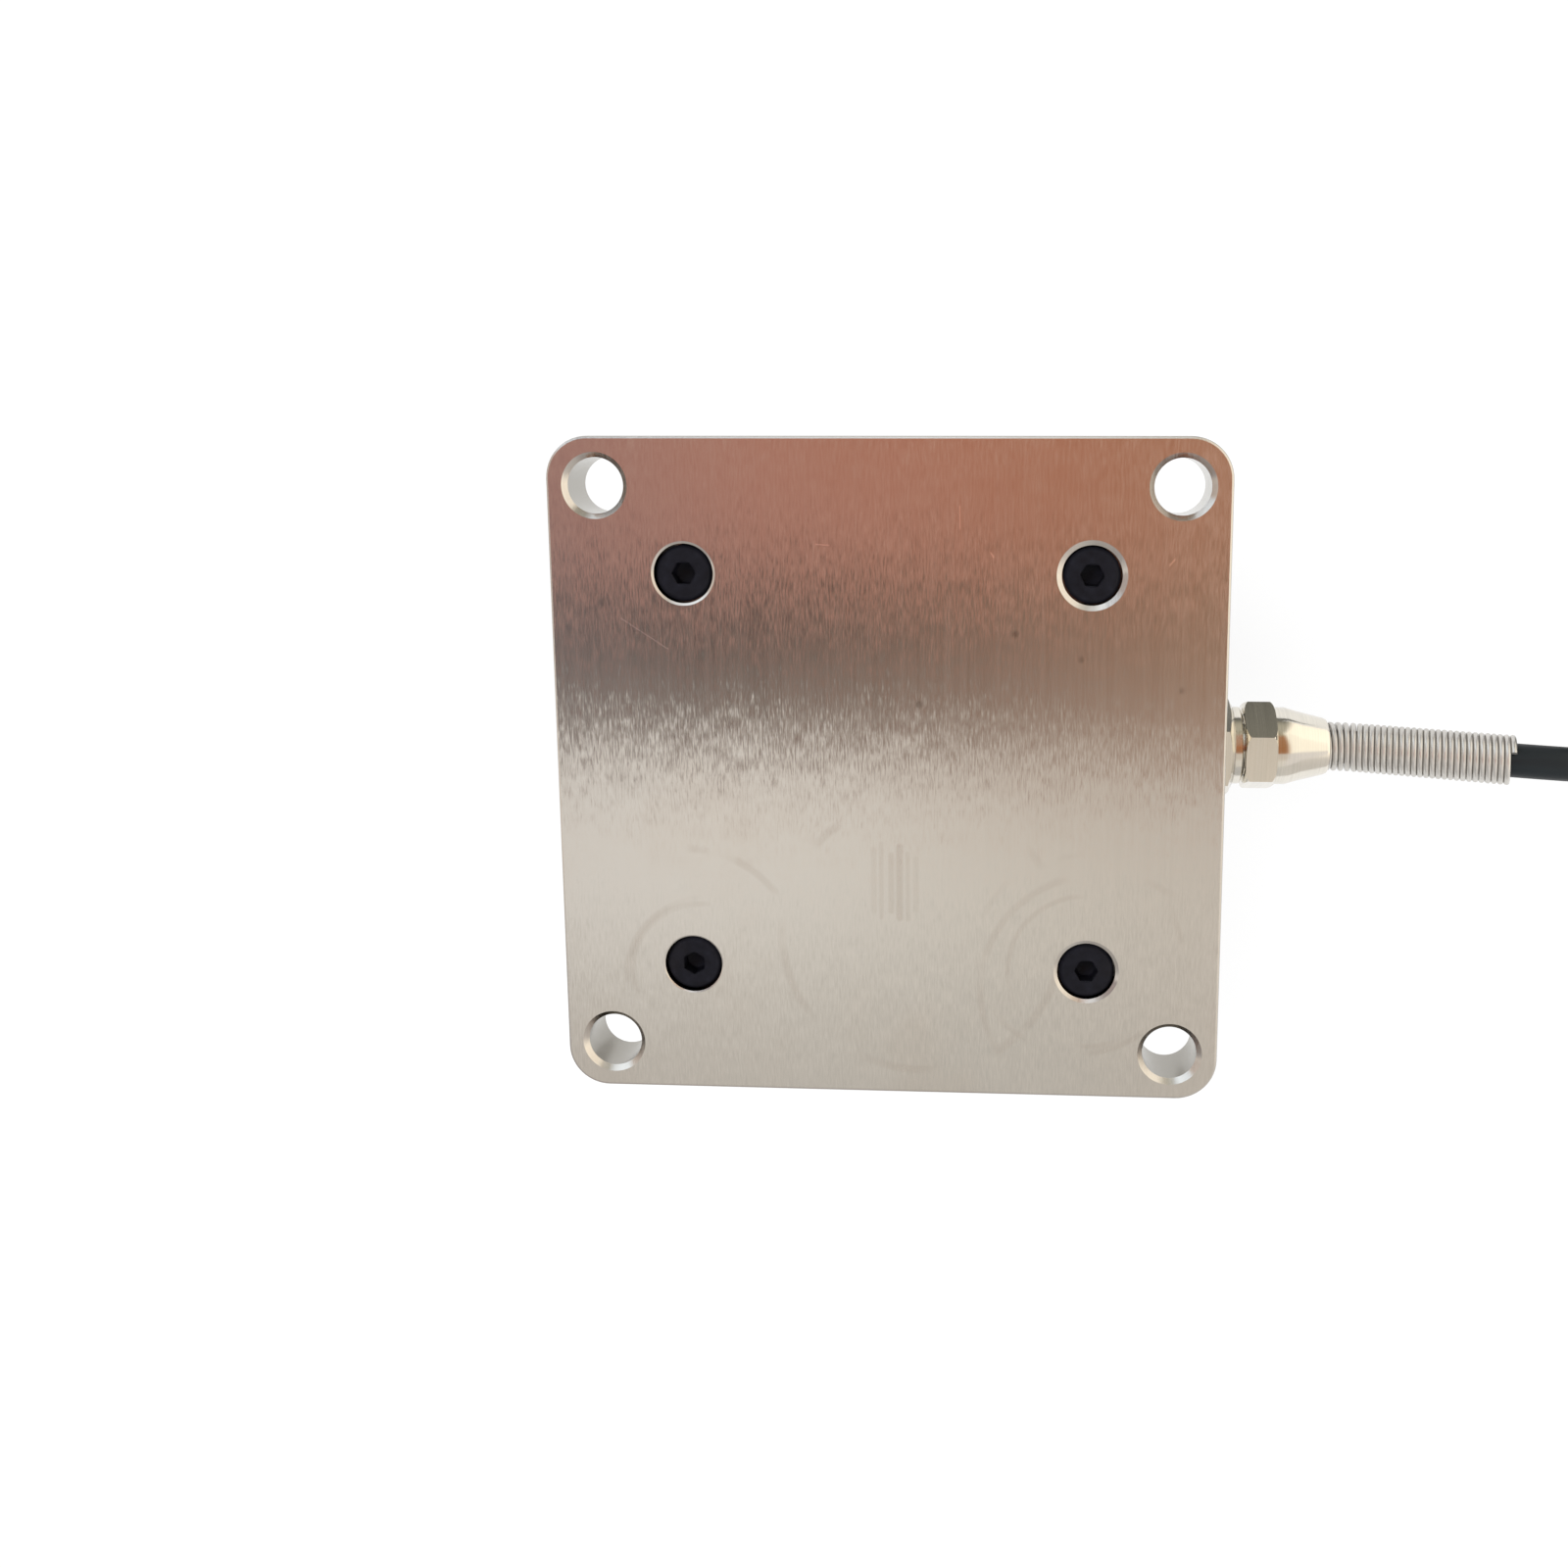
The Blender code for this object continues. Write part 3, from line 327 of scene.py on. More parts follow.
class Wiring:
    """A node tree that is wired up a node at a time."""

    def __init__(self, tree: NodeTree) -> None:
        """Keeps the tree that the nodes go into."""
        self.tree = tree

    def give(self, socket: NodeSocket, value: object) -> None:
        """Links an input to a socket or sets its value; a colour gets its alpha here."""
        if isinstance(value, NodeSocket):
            self.tree.links.new(value, socket)
        else:
            socket.default_value = (*value[:3], 1.0) if socket.type == "RGBA" else value

    def node(self, kind: str, inputs: dict | None = None, **settings: object) -> Node:
        """Adds a node.

        Args:
            kind: The node's type, without ShaderNode in front.
            inputs: A value or an output socket for each named or numbered input.
            settings: The node's own properties.

        Returns:
            The node.
        """
        made = self.tree.nodes.new(kind if kind.startswith("NodeGroup") else f"ShaderNode{kind}")
        for key, value in settings.items():
            setattr(made, key, value)
        for key, value in (inputs or {}).items():
            self.give(made.inputs[key], value)
        return made

    def sum(self, how: str, a: object, b: object = 0.0, clamp: bool = False) -> NodeSocket:
        """The result of one Math node."""
        return self.node("Math", {0: a, 1: b}, operation=how, use_clamp=clamp).outputs[0]

    def times(self, a: object, b: object) -> NodeSocket:
        """Two values multiplied."""
        return self.sum("MULTIPLY", a, b)

    def vector(self, how: str, a: object, b: object = (0.0, 0.0, 0.0)) -> NodeSocket:
        """The result of one Vector Math node."""
        made = self.node("VectorMath", {0: a, 1: b}, operation=how)
        return made.outputs["Value" if how in ("LENGTH", "DOT_PRODUCT", "DISTANCE") else "Vector"]

    def span(self, *values: object, how: str = "SMOOTHSTEP") -> NodeSocket:
        """A value taken from one range to another: the value, the first range and the second."""
        return self.node("MapRange", dict(enumerate(values)), interpolation_type=how).outputs[0]

    def blend(self, share: object, a: object, b: object, how: str = "MIX") -> NodeSocket:
        """Two colours mixed."""
        inputs = {0: share, 6: a, 7: b}
        return self.node("Mix", inputs, data_type="RGBA", blend_type=how).outputs[2]

    def ramp(self, share: object, stops: Stops) -> NodeSocket:
        """Runs a value through a colour ramp.

        Args:
            share: The value, from 0 to 1.
            stops: The ramp's places and colours.

        Returns:
            The colour.
        """
        made = self.node("ValToRGB", {"Fac": share})
        elements = made.color_ramp.elements
        while len(elements) < len(stops):
            elements.new(0.5)
        for element, (place, colour) in zip(elements, stops):
            element.position = place
            element.color = (*colour, 1.0)
        return made.outputs["Color"]

    def noise(
        self, place: object, scale: float, detail: float = 2.0, rough: float = 0.5
    ) -> NodeSocket:
        """The value of a noise texture."""
        inputs = {"Vector": place, "Scale": scale, "Detail": detail, "Roughness": rough}
        return self.node("TexNoise", inputs).outputs["Fac"]

    def bump(self, height: object, strength: float, depth: float) -> NodeSocket:
        """The normal of a relief whose height changes over the surface."""
        inputs = {"Height": height, "Strength": strength, "Distance": depth}
        return self.node("Bump", inputs).outputs["Normal"]

    def flat_offset(self, place: object, start: object) -> NodeSocket:
        """The way from one point to another, seen along Z."""
        return self.vector("MULTIPLY", self.vector("SUBTRACT", place, start), (1.0, 1.0, 0.0))

    def group(self, tree: NodeTree, **inputs: object) -> Node:
        """A shared group, placed here."""
        return self.node("Group", inputs, node_tree=tree)

    def mask(self, tree: NodeTree, **inputs: object) -> NodeSocket:
        """The mask that a shared group puts out here."""
        return self.group(tree, **inputs).outputs["Mask"]

    def overlaid(self, masks: Iterable[NodeSocket]) -> NodeSocket:
        """Lays masks over each other, up to one.

        Args:
            masks: The masks.

        Returns:
            One mask for them all.
        """
        total: object = 0.0
        for mask in masks:
            total = self.sum("ADD", total, mask, clamp=True)
        return total


class Effects:
    """The node groups that several finishes use, each made once."""

    def __init__(self) -> None:
        """Makes every group."""
        self.grain = self.make_grain()
        self.specks = self.make_specks()
        self.scratch = self.make_scratch()
        self.arc = self.make_arc()

    @staticmethod
    def begin(name: str, outputs: Sequence[str], **inputs: object) -> tuple:
        """Starts a node group that takes a Vector and more.

        Args:
            name: The group's name.
            outputs: Names of its value outputs.
            inputs: The default of each further input, a number or a vector.

        Returns:
            The group's wiring, the sockets that it is given and those that it fills.
        """
        tree = bpy.data.node_groups.new(name, "ShaderNodeTree")
        new_socket = tree.interface.new_socket
        for label, default in {"Vector": (0.0, 0.0, 0.0), **inputs}.items():
            kind = "NodeSocketVector" if isinstance(default, tuple) else "NodeSocketFloat"
            new_socket(name=label, in_out="INPUT", socket_type=kind).default_value = default
        for label in outputs:
            new_socket(name=label, in_out="OUTPUT", socket_type="NodeSocketFloat")
        wires = Wiring(tree)
        return wires, wires.node("NodeGroupInput").outputs, wires.node("NodeGroupOutput").inputs

    def make_grain(self) -> NodeTree:
        """Fine parallel marks of a belt or a lathe tool: noise that is drawn out along one way."""
        wires, given, out = self.begin(
            "directional_grain", ("Fine", "Broad"), Stretch=(1.0, 1.0, 1.0), Broken=0.3
        )
        drawn_out = wires.vector("MULTIPLY", given["Vector"], given["Stretch"])
        fine = wires.noise(drawn_out, 1.0, 3.0, 0.65)
        breaks = wires.noise(given["Vector"], 420.0, 2.0, 0.6)
        loss = wires.times(wires.sum("SUBTRACT", breaks, 0.5), given["Broken"])
        wires.give(out["Fine"], wires.sum("ADD", fine, loss, clamp=True))
        lifted = wires.vector("ADD", drawn_out, (17.0, 5.0, 9.0))
        wires.give(out["Broad"], wires.noise(lifted, 0.22))
        return wires.tree

    def make_specks(self) -> NodeTree:
        """Small scattered marks and dust, as a mask."""
        wires, given, out = self.begin("scattered_specks", ("Mask",), Scale=300.0, Rarity=0.7)
        inputs = {"Vector": given["Vector"], "Scale": given["Scale"], "Randomness": 1.0}
        spots = wires.node("TexVoronoi", inputs, feature="F1").outputs
        near = wires.span(spots["Distance"], 0.04, 0.16, 1.0, 0.0)
        draw = wires.node("SeparateColor", {"Color": spots["Color"]}).outputs[0]
        chosen = wires.sum("GREATER_THAN", draw, given["Rarity"])
        wires.give(out["Mask"], wires.times(near, chosen))
        return wires.tree

    def make_scratch(self) -> NodeTree:
        """One straight scratch from its start along its run, as a mask."""
        wires, given, out = self.begin(
            "straight_scratch", ("Mask",), Start=(0.0, 0.0, 0.0), Run=(MM, 0.0, 0.0), Width=0.1 * MM
        )
        run = given["Run"]
        offset = wires.flat_offset(given["Vector"], given["Start"])
        ahead, whole = (wires.vector("DOT_PRODUCT", way, run) for way in (offset, run))
        along = wires.sum("DIVIDE", ahead, whole, clamp=True)
        nearest = wires.node("VectorMath", {0: run, "Scale": along}, operation="SCALE").outputs[0]
        share = wires.sum("DIVIDE", wires.vector("DISTANCE", offset, nearest), given["Width"])
        wires.give(out["Mask"], wires.span(share, 0.35, 1.0, 1.0, 0.0))
        return wires.tree

    def make_arc(self) -> NodeTree:
        """A faint rubbed arc round a centre, broken up by noise, as a mask."""
        wires, given, out = self.begin(
            "rubbed_arc", ("Mask",),
            Centre=(0.0, 0.0, 0.0), Radius=10 * MM, Width=0.3 * MM, Patch=0.55,
        )
        offset = wires.flat_offset(given["Vector"], given["Centre"])
        away = wires.sum("SUBTRACT", wires.vector("LENGTH", offset), given["Radius"])
        share = wires.sum("DIVIDE", wires.sum("ABSOLUTE", away), given["Width"])
        patches = wires.noise(wires.vector("ADD", given["Vector"], given["Centre"]), 90.0)
        shown = wires.span(wires.sum("SUBTRACT", patches, given["Patch"]), -0.05, 0.08, 0.0, 1.0)
        wires.give(out["Mask"], wires.times(wires.span(share, 0.2, 1.0, 1.0, 0.0), shown))
        return wires.tree


@dataclass(frozen=True)
class Finish:
    """One finish: a Principled surface, of which each kind wires its own layers."""

    name: str
    colour: Colour
    roughness: float
    metallic: float = 0.0
    specular: float = 0.5
    anisotropy: float = 0.0

    def layers(self, wires: Wiring, effects: Effects, here: NodeSocket) -> dict[str, NodeSocket]:
        """Wires what changes over the surface; each kind of finish has its own.

        Args:
            wires: The material's wiring.
            effects: The shared groups.
            here: The Object coordinates.

        Returns:
            A socket for each Principled input that isn't plain.
        """
        raise NotImplementedError

    def build(self, effects: Effects) -> Material:
        """Makes the material.

        Args:
            effects: The shared groups.

        Returns:
            The material.
        """
        material = bpy.data.materials.new(self.name)
        material.use_nodes = True
        material.diffuse_color = (*self.colour, 1.0)
        wires = Wiring(material.node_tree)
        surface = material.node_tree.nodes["Principled BSDF"]
        plain = {
            "Base Color": self.colour,
            "Roughness": self.roughness,
            "Metallic": self.metallic,
            "Specular IOR Level": self.specular,
            "Anisotropic": self.anisotropy,
        }
        layers = self.layers(wires, effects, wires.node("TexCoord").outputs["Object"])
        for label, value in (*plain.items(), *layers.items()):
            wires.give(surface.inputs[label], value)
        return material

    def tone(self, factor: float) -> Colour:
        """The finish's colour made lighter or darker."""
        return tuple(min(1.0, channel * factor) for channel in self.colour)

    def about(
        self, wires: Wiring, value: object, ends: Sequence[float], less: float, more: float
    ) -> NodeSocket:
        """The roughness, a little less to a little more as a value runs between its ends."""
        return wires.span(value, *ends, self.roughness - less, self.roughness + more)


@dataclass(frozen=True)
class BrushedNickel(Finish):
    """Belt-ground steel under bright nickel, with its grain along Y and the marks of use."""

    # Painted shade: the darker colour that the plate's steep faces take, by their slope.
    steep_face_shade_colour: Colour = (0.36, 0.345, 0.31)
    cloud_colour: Colour = (0.60, 0.53, 0.455)
    speck_colour: Colour = (0.20, 0.17, 0.15)
    pale_colour: Colour = (0.95, 0.90, 0.84)
    dark_colour: Colour = (0.34, 0.25, 0.18)
    fine_stretch: tuple[float, float, float] = (5600.0, 600.0, 600.0)
    long_stretch: tuple[float, float, float] = (2600.0, 40.0, 40.0)
    grain_tilt: float = 0.12

    def layers(self, wires: Wiring, effects: Effects, here: NodeSocket) -> dict[str, NodeSocket]:
        """Wires the grain, the clouds, the specks, the marks and painted shade on the steep faces.
        """
        fine, long_grain = (
            wires.group(effects.grain, Vector=here, Stretch=stretch, Broken=broken).outputs["Fine"]
            for stretch, broken in ((self.fine_stretch, 0.25), (self.long_stretch, 0.1))
        )
        marks = wires.sum("ADD", wires.times(fine, 0.72), wires.times(long_grain, 0.28))
        stops = [(0.30, self.tone(0.95)), (0.52, self.colour), (0.74, self.tone(1.04))]
        cloud = wires.span(wires.noise(here, 38.0, 3.0, 0.6), 0.45, 0.75, 0.0, 0.30)
        specks = wires.mask(effects.specks, Vector=here, Scale=260.0, Rarity=0.93)
        dark = self.dark_marks(wires, effects, here)
        shape = wires.node("NewGeometry").outputs["Normal"]
        level = wires.sum("ABSOLUTE", wires.node("SeparateXYZ", {0: shape}).outputs["Z"])
        colour = wires.ramp(marks, stops)
        for share, tint in (
            (cloud, self.cloud_colour),
            (wires.times(specks, 0.3), self.speck_colour),
            (wires.times(self.pale_marks(wires, effects, here), 0.55), self.pale_colour),
            (wires.times(dark, 0.42), self.dark_colour),
            # Painted shade: the steeper a face, the more it takes the darker steep-face colour.
            (wires.span(level, 0.35, 0.6, 0.9, 0.0), self.steep_face_shade_colour),
        ):
            colour = wires.blend(share, colour, tint)
        tilt = wires.times(wires.sum("SUBTRACT", fine, 0.5), self.grain_tilt)
        tilted = wires.vector("ADD", shape, wires.node("CombineXYZ", {1: tilt}).outputs[0])
        rough = self.about(wires, marks, (0.3, 0.7), 0.03, 0.04)
        tangent = wires.node("Tangent", direction_type="UV_MAP", uv_map="grain")
        return {
            "Base Color": colour,
            "Roughness": wires.sum("ADD", rough, wires.times(dark, 0.08)),
            "Normal": wires.vector("NORMALIZE", tilted),
            "Tangent": tangent.outputs["Tangent"],
        }

    @staticmethod
    def pale_marks(wires: Wiring, effects: Effects, here: NodeSocket) -> NodeSocket:
        """The bright scratches, each from its start with its run and width in millimetres."""
        scratches = [
            ((-8.2, 27.5), (1.5, -0.1), 0.10), ((8.6, 32.0), (0.05, -2.6), 0.09),
            ((12.2, 26.6), (0.35, -0.5), 0.12), ((33.4, 25.9), (-0.5, -0.6), 0.14),
            ((-31.5, 18.6), (5.5, -3.6), 0.11), ((-22.5, 24.9), (1.3, -0.9), 0.10),
        ]
        return wires.overlaid(
            wires.mask(
                effects.scratch, Vector=here, Start=flat(*start), Run=flat(*run), Width=width * MM
            )
            for start, run, width in scratches
        )

    @staticmethod
    def dark_marks(wires: Wiring, effects: Effects, here: NodeSocket) -> NodeSocket:
        """Rubbed arcs round the lower screws and the stained strips in the plate's middle."""
        arcs = [
            ((24.0, -24.0), 9.5, 0.50, 0.50), ((23.0, -22.0), 12.4, 0.60, 0.52),
            ((26.0, -26.5), 14.8, 0.70, 0.52), ((-23.0, -25.0), 8.6, 0.55, 0.52),
            ((-22.0, -26.0), 10.4, 0.60, 0.54), ((-24.5, -23.0), 13.6, 0.70, 0.54),
            ((-17.0, -29.5), 5.2, 0.45, 0.52), ((4.0, -20.0), 17.0, 0.80, 0.56),
        ]
        strips = [
            (-1.7, -9.2, 7.6, 0.5, 0.16), (-0.8, -8.4, 9.2, 0.4, 0.20), (0.4, -9.8, 7.0, 0.5, 0.26),
            (1.4, -8.8, 8.8, 0.6, 0.36), (2.4, -9.6, 8.2, 0.4, 0.20), (3.4, -10.2, 6.4, 0.5, 0.16),
        ]
        marks = []
        for centre, radius, width, patch in arcs:
            sizes = {"Centre": flat(*centre), "Radius": radius * MM, "Width": width * MM}
            marks.append((wires.mask(effects.arc, Vector=here, Patch=patch, **sizes), 0.24))
        for x, y, length, width, depth in strips:
            sizes = {"Start": flat(x, y), "Run": flat(0.0, -length), "Width": width * MM}
            marks.append((wires.mask(effects.scratch, Vector=here, **sizes), depth))
        return wires.overlaid(wires.times(mask, share) for mask, share in marks)


@dataclass(frozen=True)
class WorkedMetal(Finish):
    """Turned, ground or plated metal with fine tool marks drawn out along one way."""

    stretch: tuple[float, float, float] = (60.0, 60.0, 5000.0)
    contrast: float = 0.12
    depth: float = 0.00002

    def layers(self, wires: Wiring, effects: Effects, here: NodeSocket) -> dict[str, NodeSocket]:
        """Wires the tool marks, a cloudy film and specks."""
        grain = wires.group(effects.grain, Vector=here, Stretch=self.stretch, Broken=0.15).outputs
        light, dark = self.tone(1 + self.contrast), self.tone(1 - 1.4 * self.contrast)
        colour = wires.ramp(grain["Fine"], [(0.3, dark), (0.5, self.colour), (0.72, light)])
        cloud = wires.span(wires.noise(here, 70.0, 3.0, 0.6), 0.35, 0.75, 0.0, 0.18)
        colour = wires.blend(cloud, colour, self.tone(0.75))
        specks = wires.mask(effects.specks, Vector=here, Scale=420.0, Rarity=0.94)
        return {
            "Base Color": wires.blend(wires.times(specks, 0.4), colour, self.tone(0.35)),
            "Roughness": self.about(
                wires, grain["Broad"], (0.3, 0.7), 0.15 * self.roughness, 0.2 * self.roughness
            ),
            "Normal": wires.bump(grain["Fine"], 0.25, self.depth),
        }


@dataclass(frozen=True)
class BlackOxide(Finish):
    """Blackened steel: a dull black skin, a little browner and rougher in places."""

    patch_colour: Colour = (0.012, 0.010, 0.010)

    def layers(self, wires: Wiring, effects: Effects, here: NodeSocket) -> dict[str, NodeSocket]:
        """Wires the mottle and the patches."""
        mottle = wires.noise(here, 900.0, 4.0, 0.6)
        stops = [(0.3, self.tone(0.6)), (0.6, self.colour), (0.8, self.tone(1.5))]
        colour = wires.ramp(mottle, stops)
        patches = wires.span(wires.noise(here, 160.0), 0.5, 0.8, 0.0, 0.35)
        return {
            "Base Color": wires.blend(patches, colour, self.patch_colour),
            "Roughness": self.about(wires, mottle, (0.25, 0.75), 0.07, 0.12),
            "Normal": wires.bump(mottle, 0.2, 0.00003),
        }


@dataclass(frozen=True)
class Moulded(Finish):
    """Extruded or moulded plastic and rubber, with a fine skin and a little dust."""

    skin_scale: float = 1400.0
    skin_depth: float = 0.00003
    dust: float = 0.12
    dust_colour: Colour = (0.55, 0.53, 0.50)

    def layers(self, wires: Wiring, effects: Effects, here: NodeSocket) -> dict[str, NodeSocket]:
        """Wires the skin, the clouds and the dust."""
        cloud = wires.noise(here, 55.0, 3.0, 0.55)
        skin = wires.noise(here, self.skin_scale, 3.0, 0.6)
        stops = [(0.3, self.tone(0.82)), (0.55, self.colour), (0.8, self.tone(1.25))]
        colour = wires.ramp(cloud, stops)
        specks = wires.mask(effects.specks, Vector=here, Scale=700.0, Rarity=0.9)
        return {
            "Base Color": wires.blend(wires.times(specks, self.dust), colour, self.dust_colour),
            "Roughness": self.about(wires, cloud, (0.3, 0.75), 0.06, 0.08),
            "Normal": wires.bump(skin, 0.3, self.skin_depth),
        }


@dataclass(frozen=True)
class CircuitBoard(Finish):
    """Green solder mask with paler traces and pads."""

    pad_colour: Colour = (0.75, 0.68, 0.45)

    def layers(self, wires: Wiring, effects: Effects, here: NodeSocket) -> dict[str, NodeSocket]:
        """Wires the weave, the traces and the pads."""
        weave = wires.noise(here, 2500.0)
        tints = {"Color1": self.colour, "Color2": self.tone(1.2), "Mortar": self.tone(1.9)}
        inputs = {"Vector": here, "Scale": 420.0, **tints, "Mortar Size": 0.03}
        pads = wires.mask(effects.specks, Vector=here, Scale=520.0, Rarity=0.6)
        traces = wires.node("TexBrick", inputs).outputs["Color"]
        return {
            "Base Color": wires.blend(pads, traces, self.pad_colour),
            "Roughness": self.about(wires, weave, (0.3, 0.7), 0.08, 0.08),
            "Normal": wires.bump(weave, 0.2, 0.00002),
        }


class Palette:
    """Every material of the load cell, made once."""

    def __init__(self) -> None:
        """Builds the shared groups and the materials."""
        fx = Effects()
        self.plate = BrushedNickel(
            "brushed_nickel_plate", (0.66, 0.625, 0.575), 0.22, 1.0, anisotropy=0.95
        ).build(fx)
        self.turned_steel = WorkedMetal("turned_steel", (0.60, 0.585, 0.56), 0.30, 1.0).build(fx)
        self.nickel = WorkedMetal(
            "bright_nickel", (0.78, 0.74, 0.66), 0.14, 1.0,
            stretch=(5200.0, 40.0, 40.0), contrast=0.06, depth=0.000008,
        ).build(fx)
        self.spring = WorkedMetal(
            "drawn_spring_wire", (0.62, 0.60, 0.565), 0.34, 0.85,
            stretch=(900.0, 900.0, 900.0), contrast=0.05, depth=0.000008,
        ).build(fx)
        self.tinned = WorkedMetal(
            "tinned_copper", (0.74, 0.72, 0.70), 0.28, 1.0,
            stretch=(1500.0, 1500.0, 1500.0), contrast=0.15,
        ).build(fx)
        self.oxide = BlackOxide("black_oxide", (0.006, 0.006, 0.009), 0.50, specular=0.12).build(fx)
        self.rubber = Moulded("black_rubber", (0.022, 0.022, 0.022), 0.62).build(fx)
        self.jacket = Moulded(
            "black_cable_jacket", (0.006, 0.009, 0.011), 0.42, specular=0.28
        ).build(fx)
        self.board = CircuitBoard("solder_mask", (0.03, 0.18, 0.07), 0.40).build(fx)
        self.film = Moulded(
            "gauge_film", (0.72, 0.46, 0.20), 0.32, skin_scale=2600.0, dust=0.05
        ).build(fx)
        shades = {
            "red": (0.55, 0.03, 0.03),
            "black": (0.022, 0.022, 0.022),
            "green": (0.03, 0.30, 0.08),
            "white": (0.80, 0.80, 0.77),
        }
        self.insulation = {
            shade: Moulded(f"{shade}_insulation", colour, 0.38, dust=0.06).build(fx)
            for shade, colour in shades.items()
        }


# The load cell's own pieces


@dataclass
class CapScrew:
    """A socket head cap screw, its head's underside at z = 0 and its shank pointing down."""

    reach: float
    head_radius: float = 3.35
    head_height: float = 4.0
    rim: float = 0.42
    ease: float = 0.16
    foot: float = 0.1
    shank_radius: float = 2.0
    point: float = 0.5
    socket_flats: float = 2.5
    socket_depth: float = 2.0

    def shape(self) -> Object:
        """Turns the screw and broaches its socket."""
        head, shank, top, tip = self.head_radius, self.shank_radius, self.head_height, -self.reach
        outline = [
            (head - self.rim, top), (head, top - self.rim), (head, self.foot),
            (head - self.foot, 0.0), (shank, 0.0), (shank, tip + self.point),
            (shank - self.point, tip),
        ]
        screw = Bench.turned("cap_screw", outline, 72, ease=self.ease)
        floor, half = top - self.socket_depth, self.socket_flats / 2
        corner, drill = half / COS_30, half - 0.05
        sink = [(corner + 0.28, top + 0.3), (corner - 0.12, top - 0.1)]
        bottom = [(drill, floor + 0.2), (drill, floor), (0.0, floor - 0.7)]
        return Bench.work(screw, [
            Bench.hexagon("socket", self.socket_flats, floor, top + 1.0),
            Bench.turned("countersink", sink, 72),
            Bench.turned("drill_point", bottom, 48),
        ])

    def seat(self, palette: Palette, name: str, node: str, places: Iterable[Matrix]) -> None:
        """Puts a copy of the screw at each place.

        Args:
            palette: The materials.
            name: What the copies are called, before their number.
            node: The solids that they replace, before their number.
            places: Where they go.
        """
        pattern = self.shape()
        for i, place in enumerate(places, 1):
            mesh = pattern.data.copy()
            mesh.transform(place)
            mesh.name = f"{name}_{i}"
            screw = Bench.link(mesh.name, mesh)
            hand_over(screw, palette.oxide, "black_oxide_steel", f"{node}_{i}")
        bpy.data.objects.remove(pattern, do_unlink=True)


@dataclass
class MountingPlate:
    """The square plate that the photograph looks at, with its four cap screws."""

    side: float = 80.0
    bottom: float = 32.0
    top: float = 40.0
    corner_radius: float = 5.0
    edge_break: float = 0.3
    hole_pitch: float = 68.5
    hole_radius: float = 3.3
    hole_chamfer: float = 0.6
    bore_pitch: float = 48.0
    bore_radius: float = 3.525
    bore_depth: float = 4.4
    bore_chamfers: tuple[float, ...] = (0.16, 0.28, 0.42, 0.60)
    chamfer_slope: float = 0.6
    shank_hole: float = 2.3
    screw_seat: float = 35.75
    screw_reach: float = 11.4
    screw_turns: tuple[float, ...] = (0, 30, 30, 26)
    grain_scale: float = 10.0

    def dress(self, palette: Palette) -> None:
        """Builds the plate and its screws."""
        plate = self.slab()
        tools = [self.through_hole(x, y) for x, y in square(self.hole_pitch)]
        bores = zip(square(self.bore_pitch), self.bore_chamfers)
        tools += [self.counterbore(spot, chamfer) for spot, chamfer in bores]
        Bench.shade(Bench.work(plate, tools), 15.0)
        self.lay_grain(plate)
        hand_over(plate, palette.plate, "brushed_nickel_steel", "mounting_plate")
        spots = zip(square(self.bore_pitch), self.screw_turns)
        places = [at(x, y, self.screw_seat) @ turned_by(turn) for (x, y), turn in spots]
        CapScrew(self.screw_reach).seat(palette, "plate_cap_screw", "plate_screw", places)

    def slab(self) -> Object:
        """The plate's blank, with rounded corners and broken edges."""
        bm = bmesh.new()
        thick = (self.top - self.bottom) * MM
        size = Matrix.Diagonal((self.side * MM, self.side * MM, thick, 1.0))
        bmesh.ops.create_cube(bm, size=1.0, matrix=size)
        upright = [e for e in bm.edges if abs(e.verts[0].co.z - e.verts[1].co.z) > thick / 2]
        self.round_off(bm, upright, self.corner_radius, 14)
        caps = [f for f in bm.faces if abs(f.normal.z) > 0.9]
        self.round_off(bm, list({e for f in caps for e in f.edges}), self.edge_break, 2)
        middle = at(0.0, 0.0, (self.top + self.bottom) / 2)
        return Bench.keep("dressed_mounting_plate", bm, middle)

    @staticmethod
    def round_off(bm: bmesh.types.BMesh, edges: list, size: float, segments: int) -> None:
        """Bevels edges of the blank."""
        bmesh.ops.bevel(
            bm, geom=edges, offset=size * MM, segments=segments, profile=0.5, affect="EDGES",
            material=-1,
        )

    def through_hole(self, x: float, y: float) -> Object:
        """A cutter for a corner hole with both mouths chamfered."""
        radius, chamfer = self.hole_radius, self.hole_chamfer
        outline = [
            (radius + chamfer + PAST, self.top + PAST), (radius, self.top - chamfer),
            (radius, self.bottom + chamfer), (radius + chamfer + PAST, self.bottom - PAST),
        ]
        return Bench.turned("corner_drill", outline, 96, at(x, y))

    def counterbore(self, spot: tuple[float, float], chamfer: float) -> Object:
        """A cutter for a screw's counterbore, with its own chamfer, and its clearance hole."""
        bore, shank, floor = self.bore_radius, self.shank_hole, self.top - self.bore_depth
        outline = [
            (0.0, self.top + PAST), (bore + chamfer + PAST, self.top + self.chamfer_slope * PAST),
            (bore, self.top - self.chamfer_slope * chamfer), (bore, floor), (shank, floor),
            (shank, self.bottom - PAST),
        ]
        return Bench.turned("counterbore", outline, 96, at(*spot))

    def lay_grain(self, plate: Object) -> None:
        """Gives the plate a UV map whose U runs across the grain on its large faces."""
        layer = plate.data.uv_layers.new(name="grain")
        for face in plate.data.polygons:
            flat = abs(face.normal.z) > 0.5
            sideways = abs(face.normal.x) > abs(face.normal.y)
            for loop in face.loop_indices:
                corner = plate.data.vertices[plate.data.loops[loop].vertex_index].co
                x, y, z = corner * self.grain_scale
                layer.data[loop].uv = (x, y) if flat else ((y, z) if sideways else (x, z))


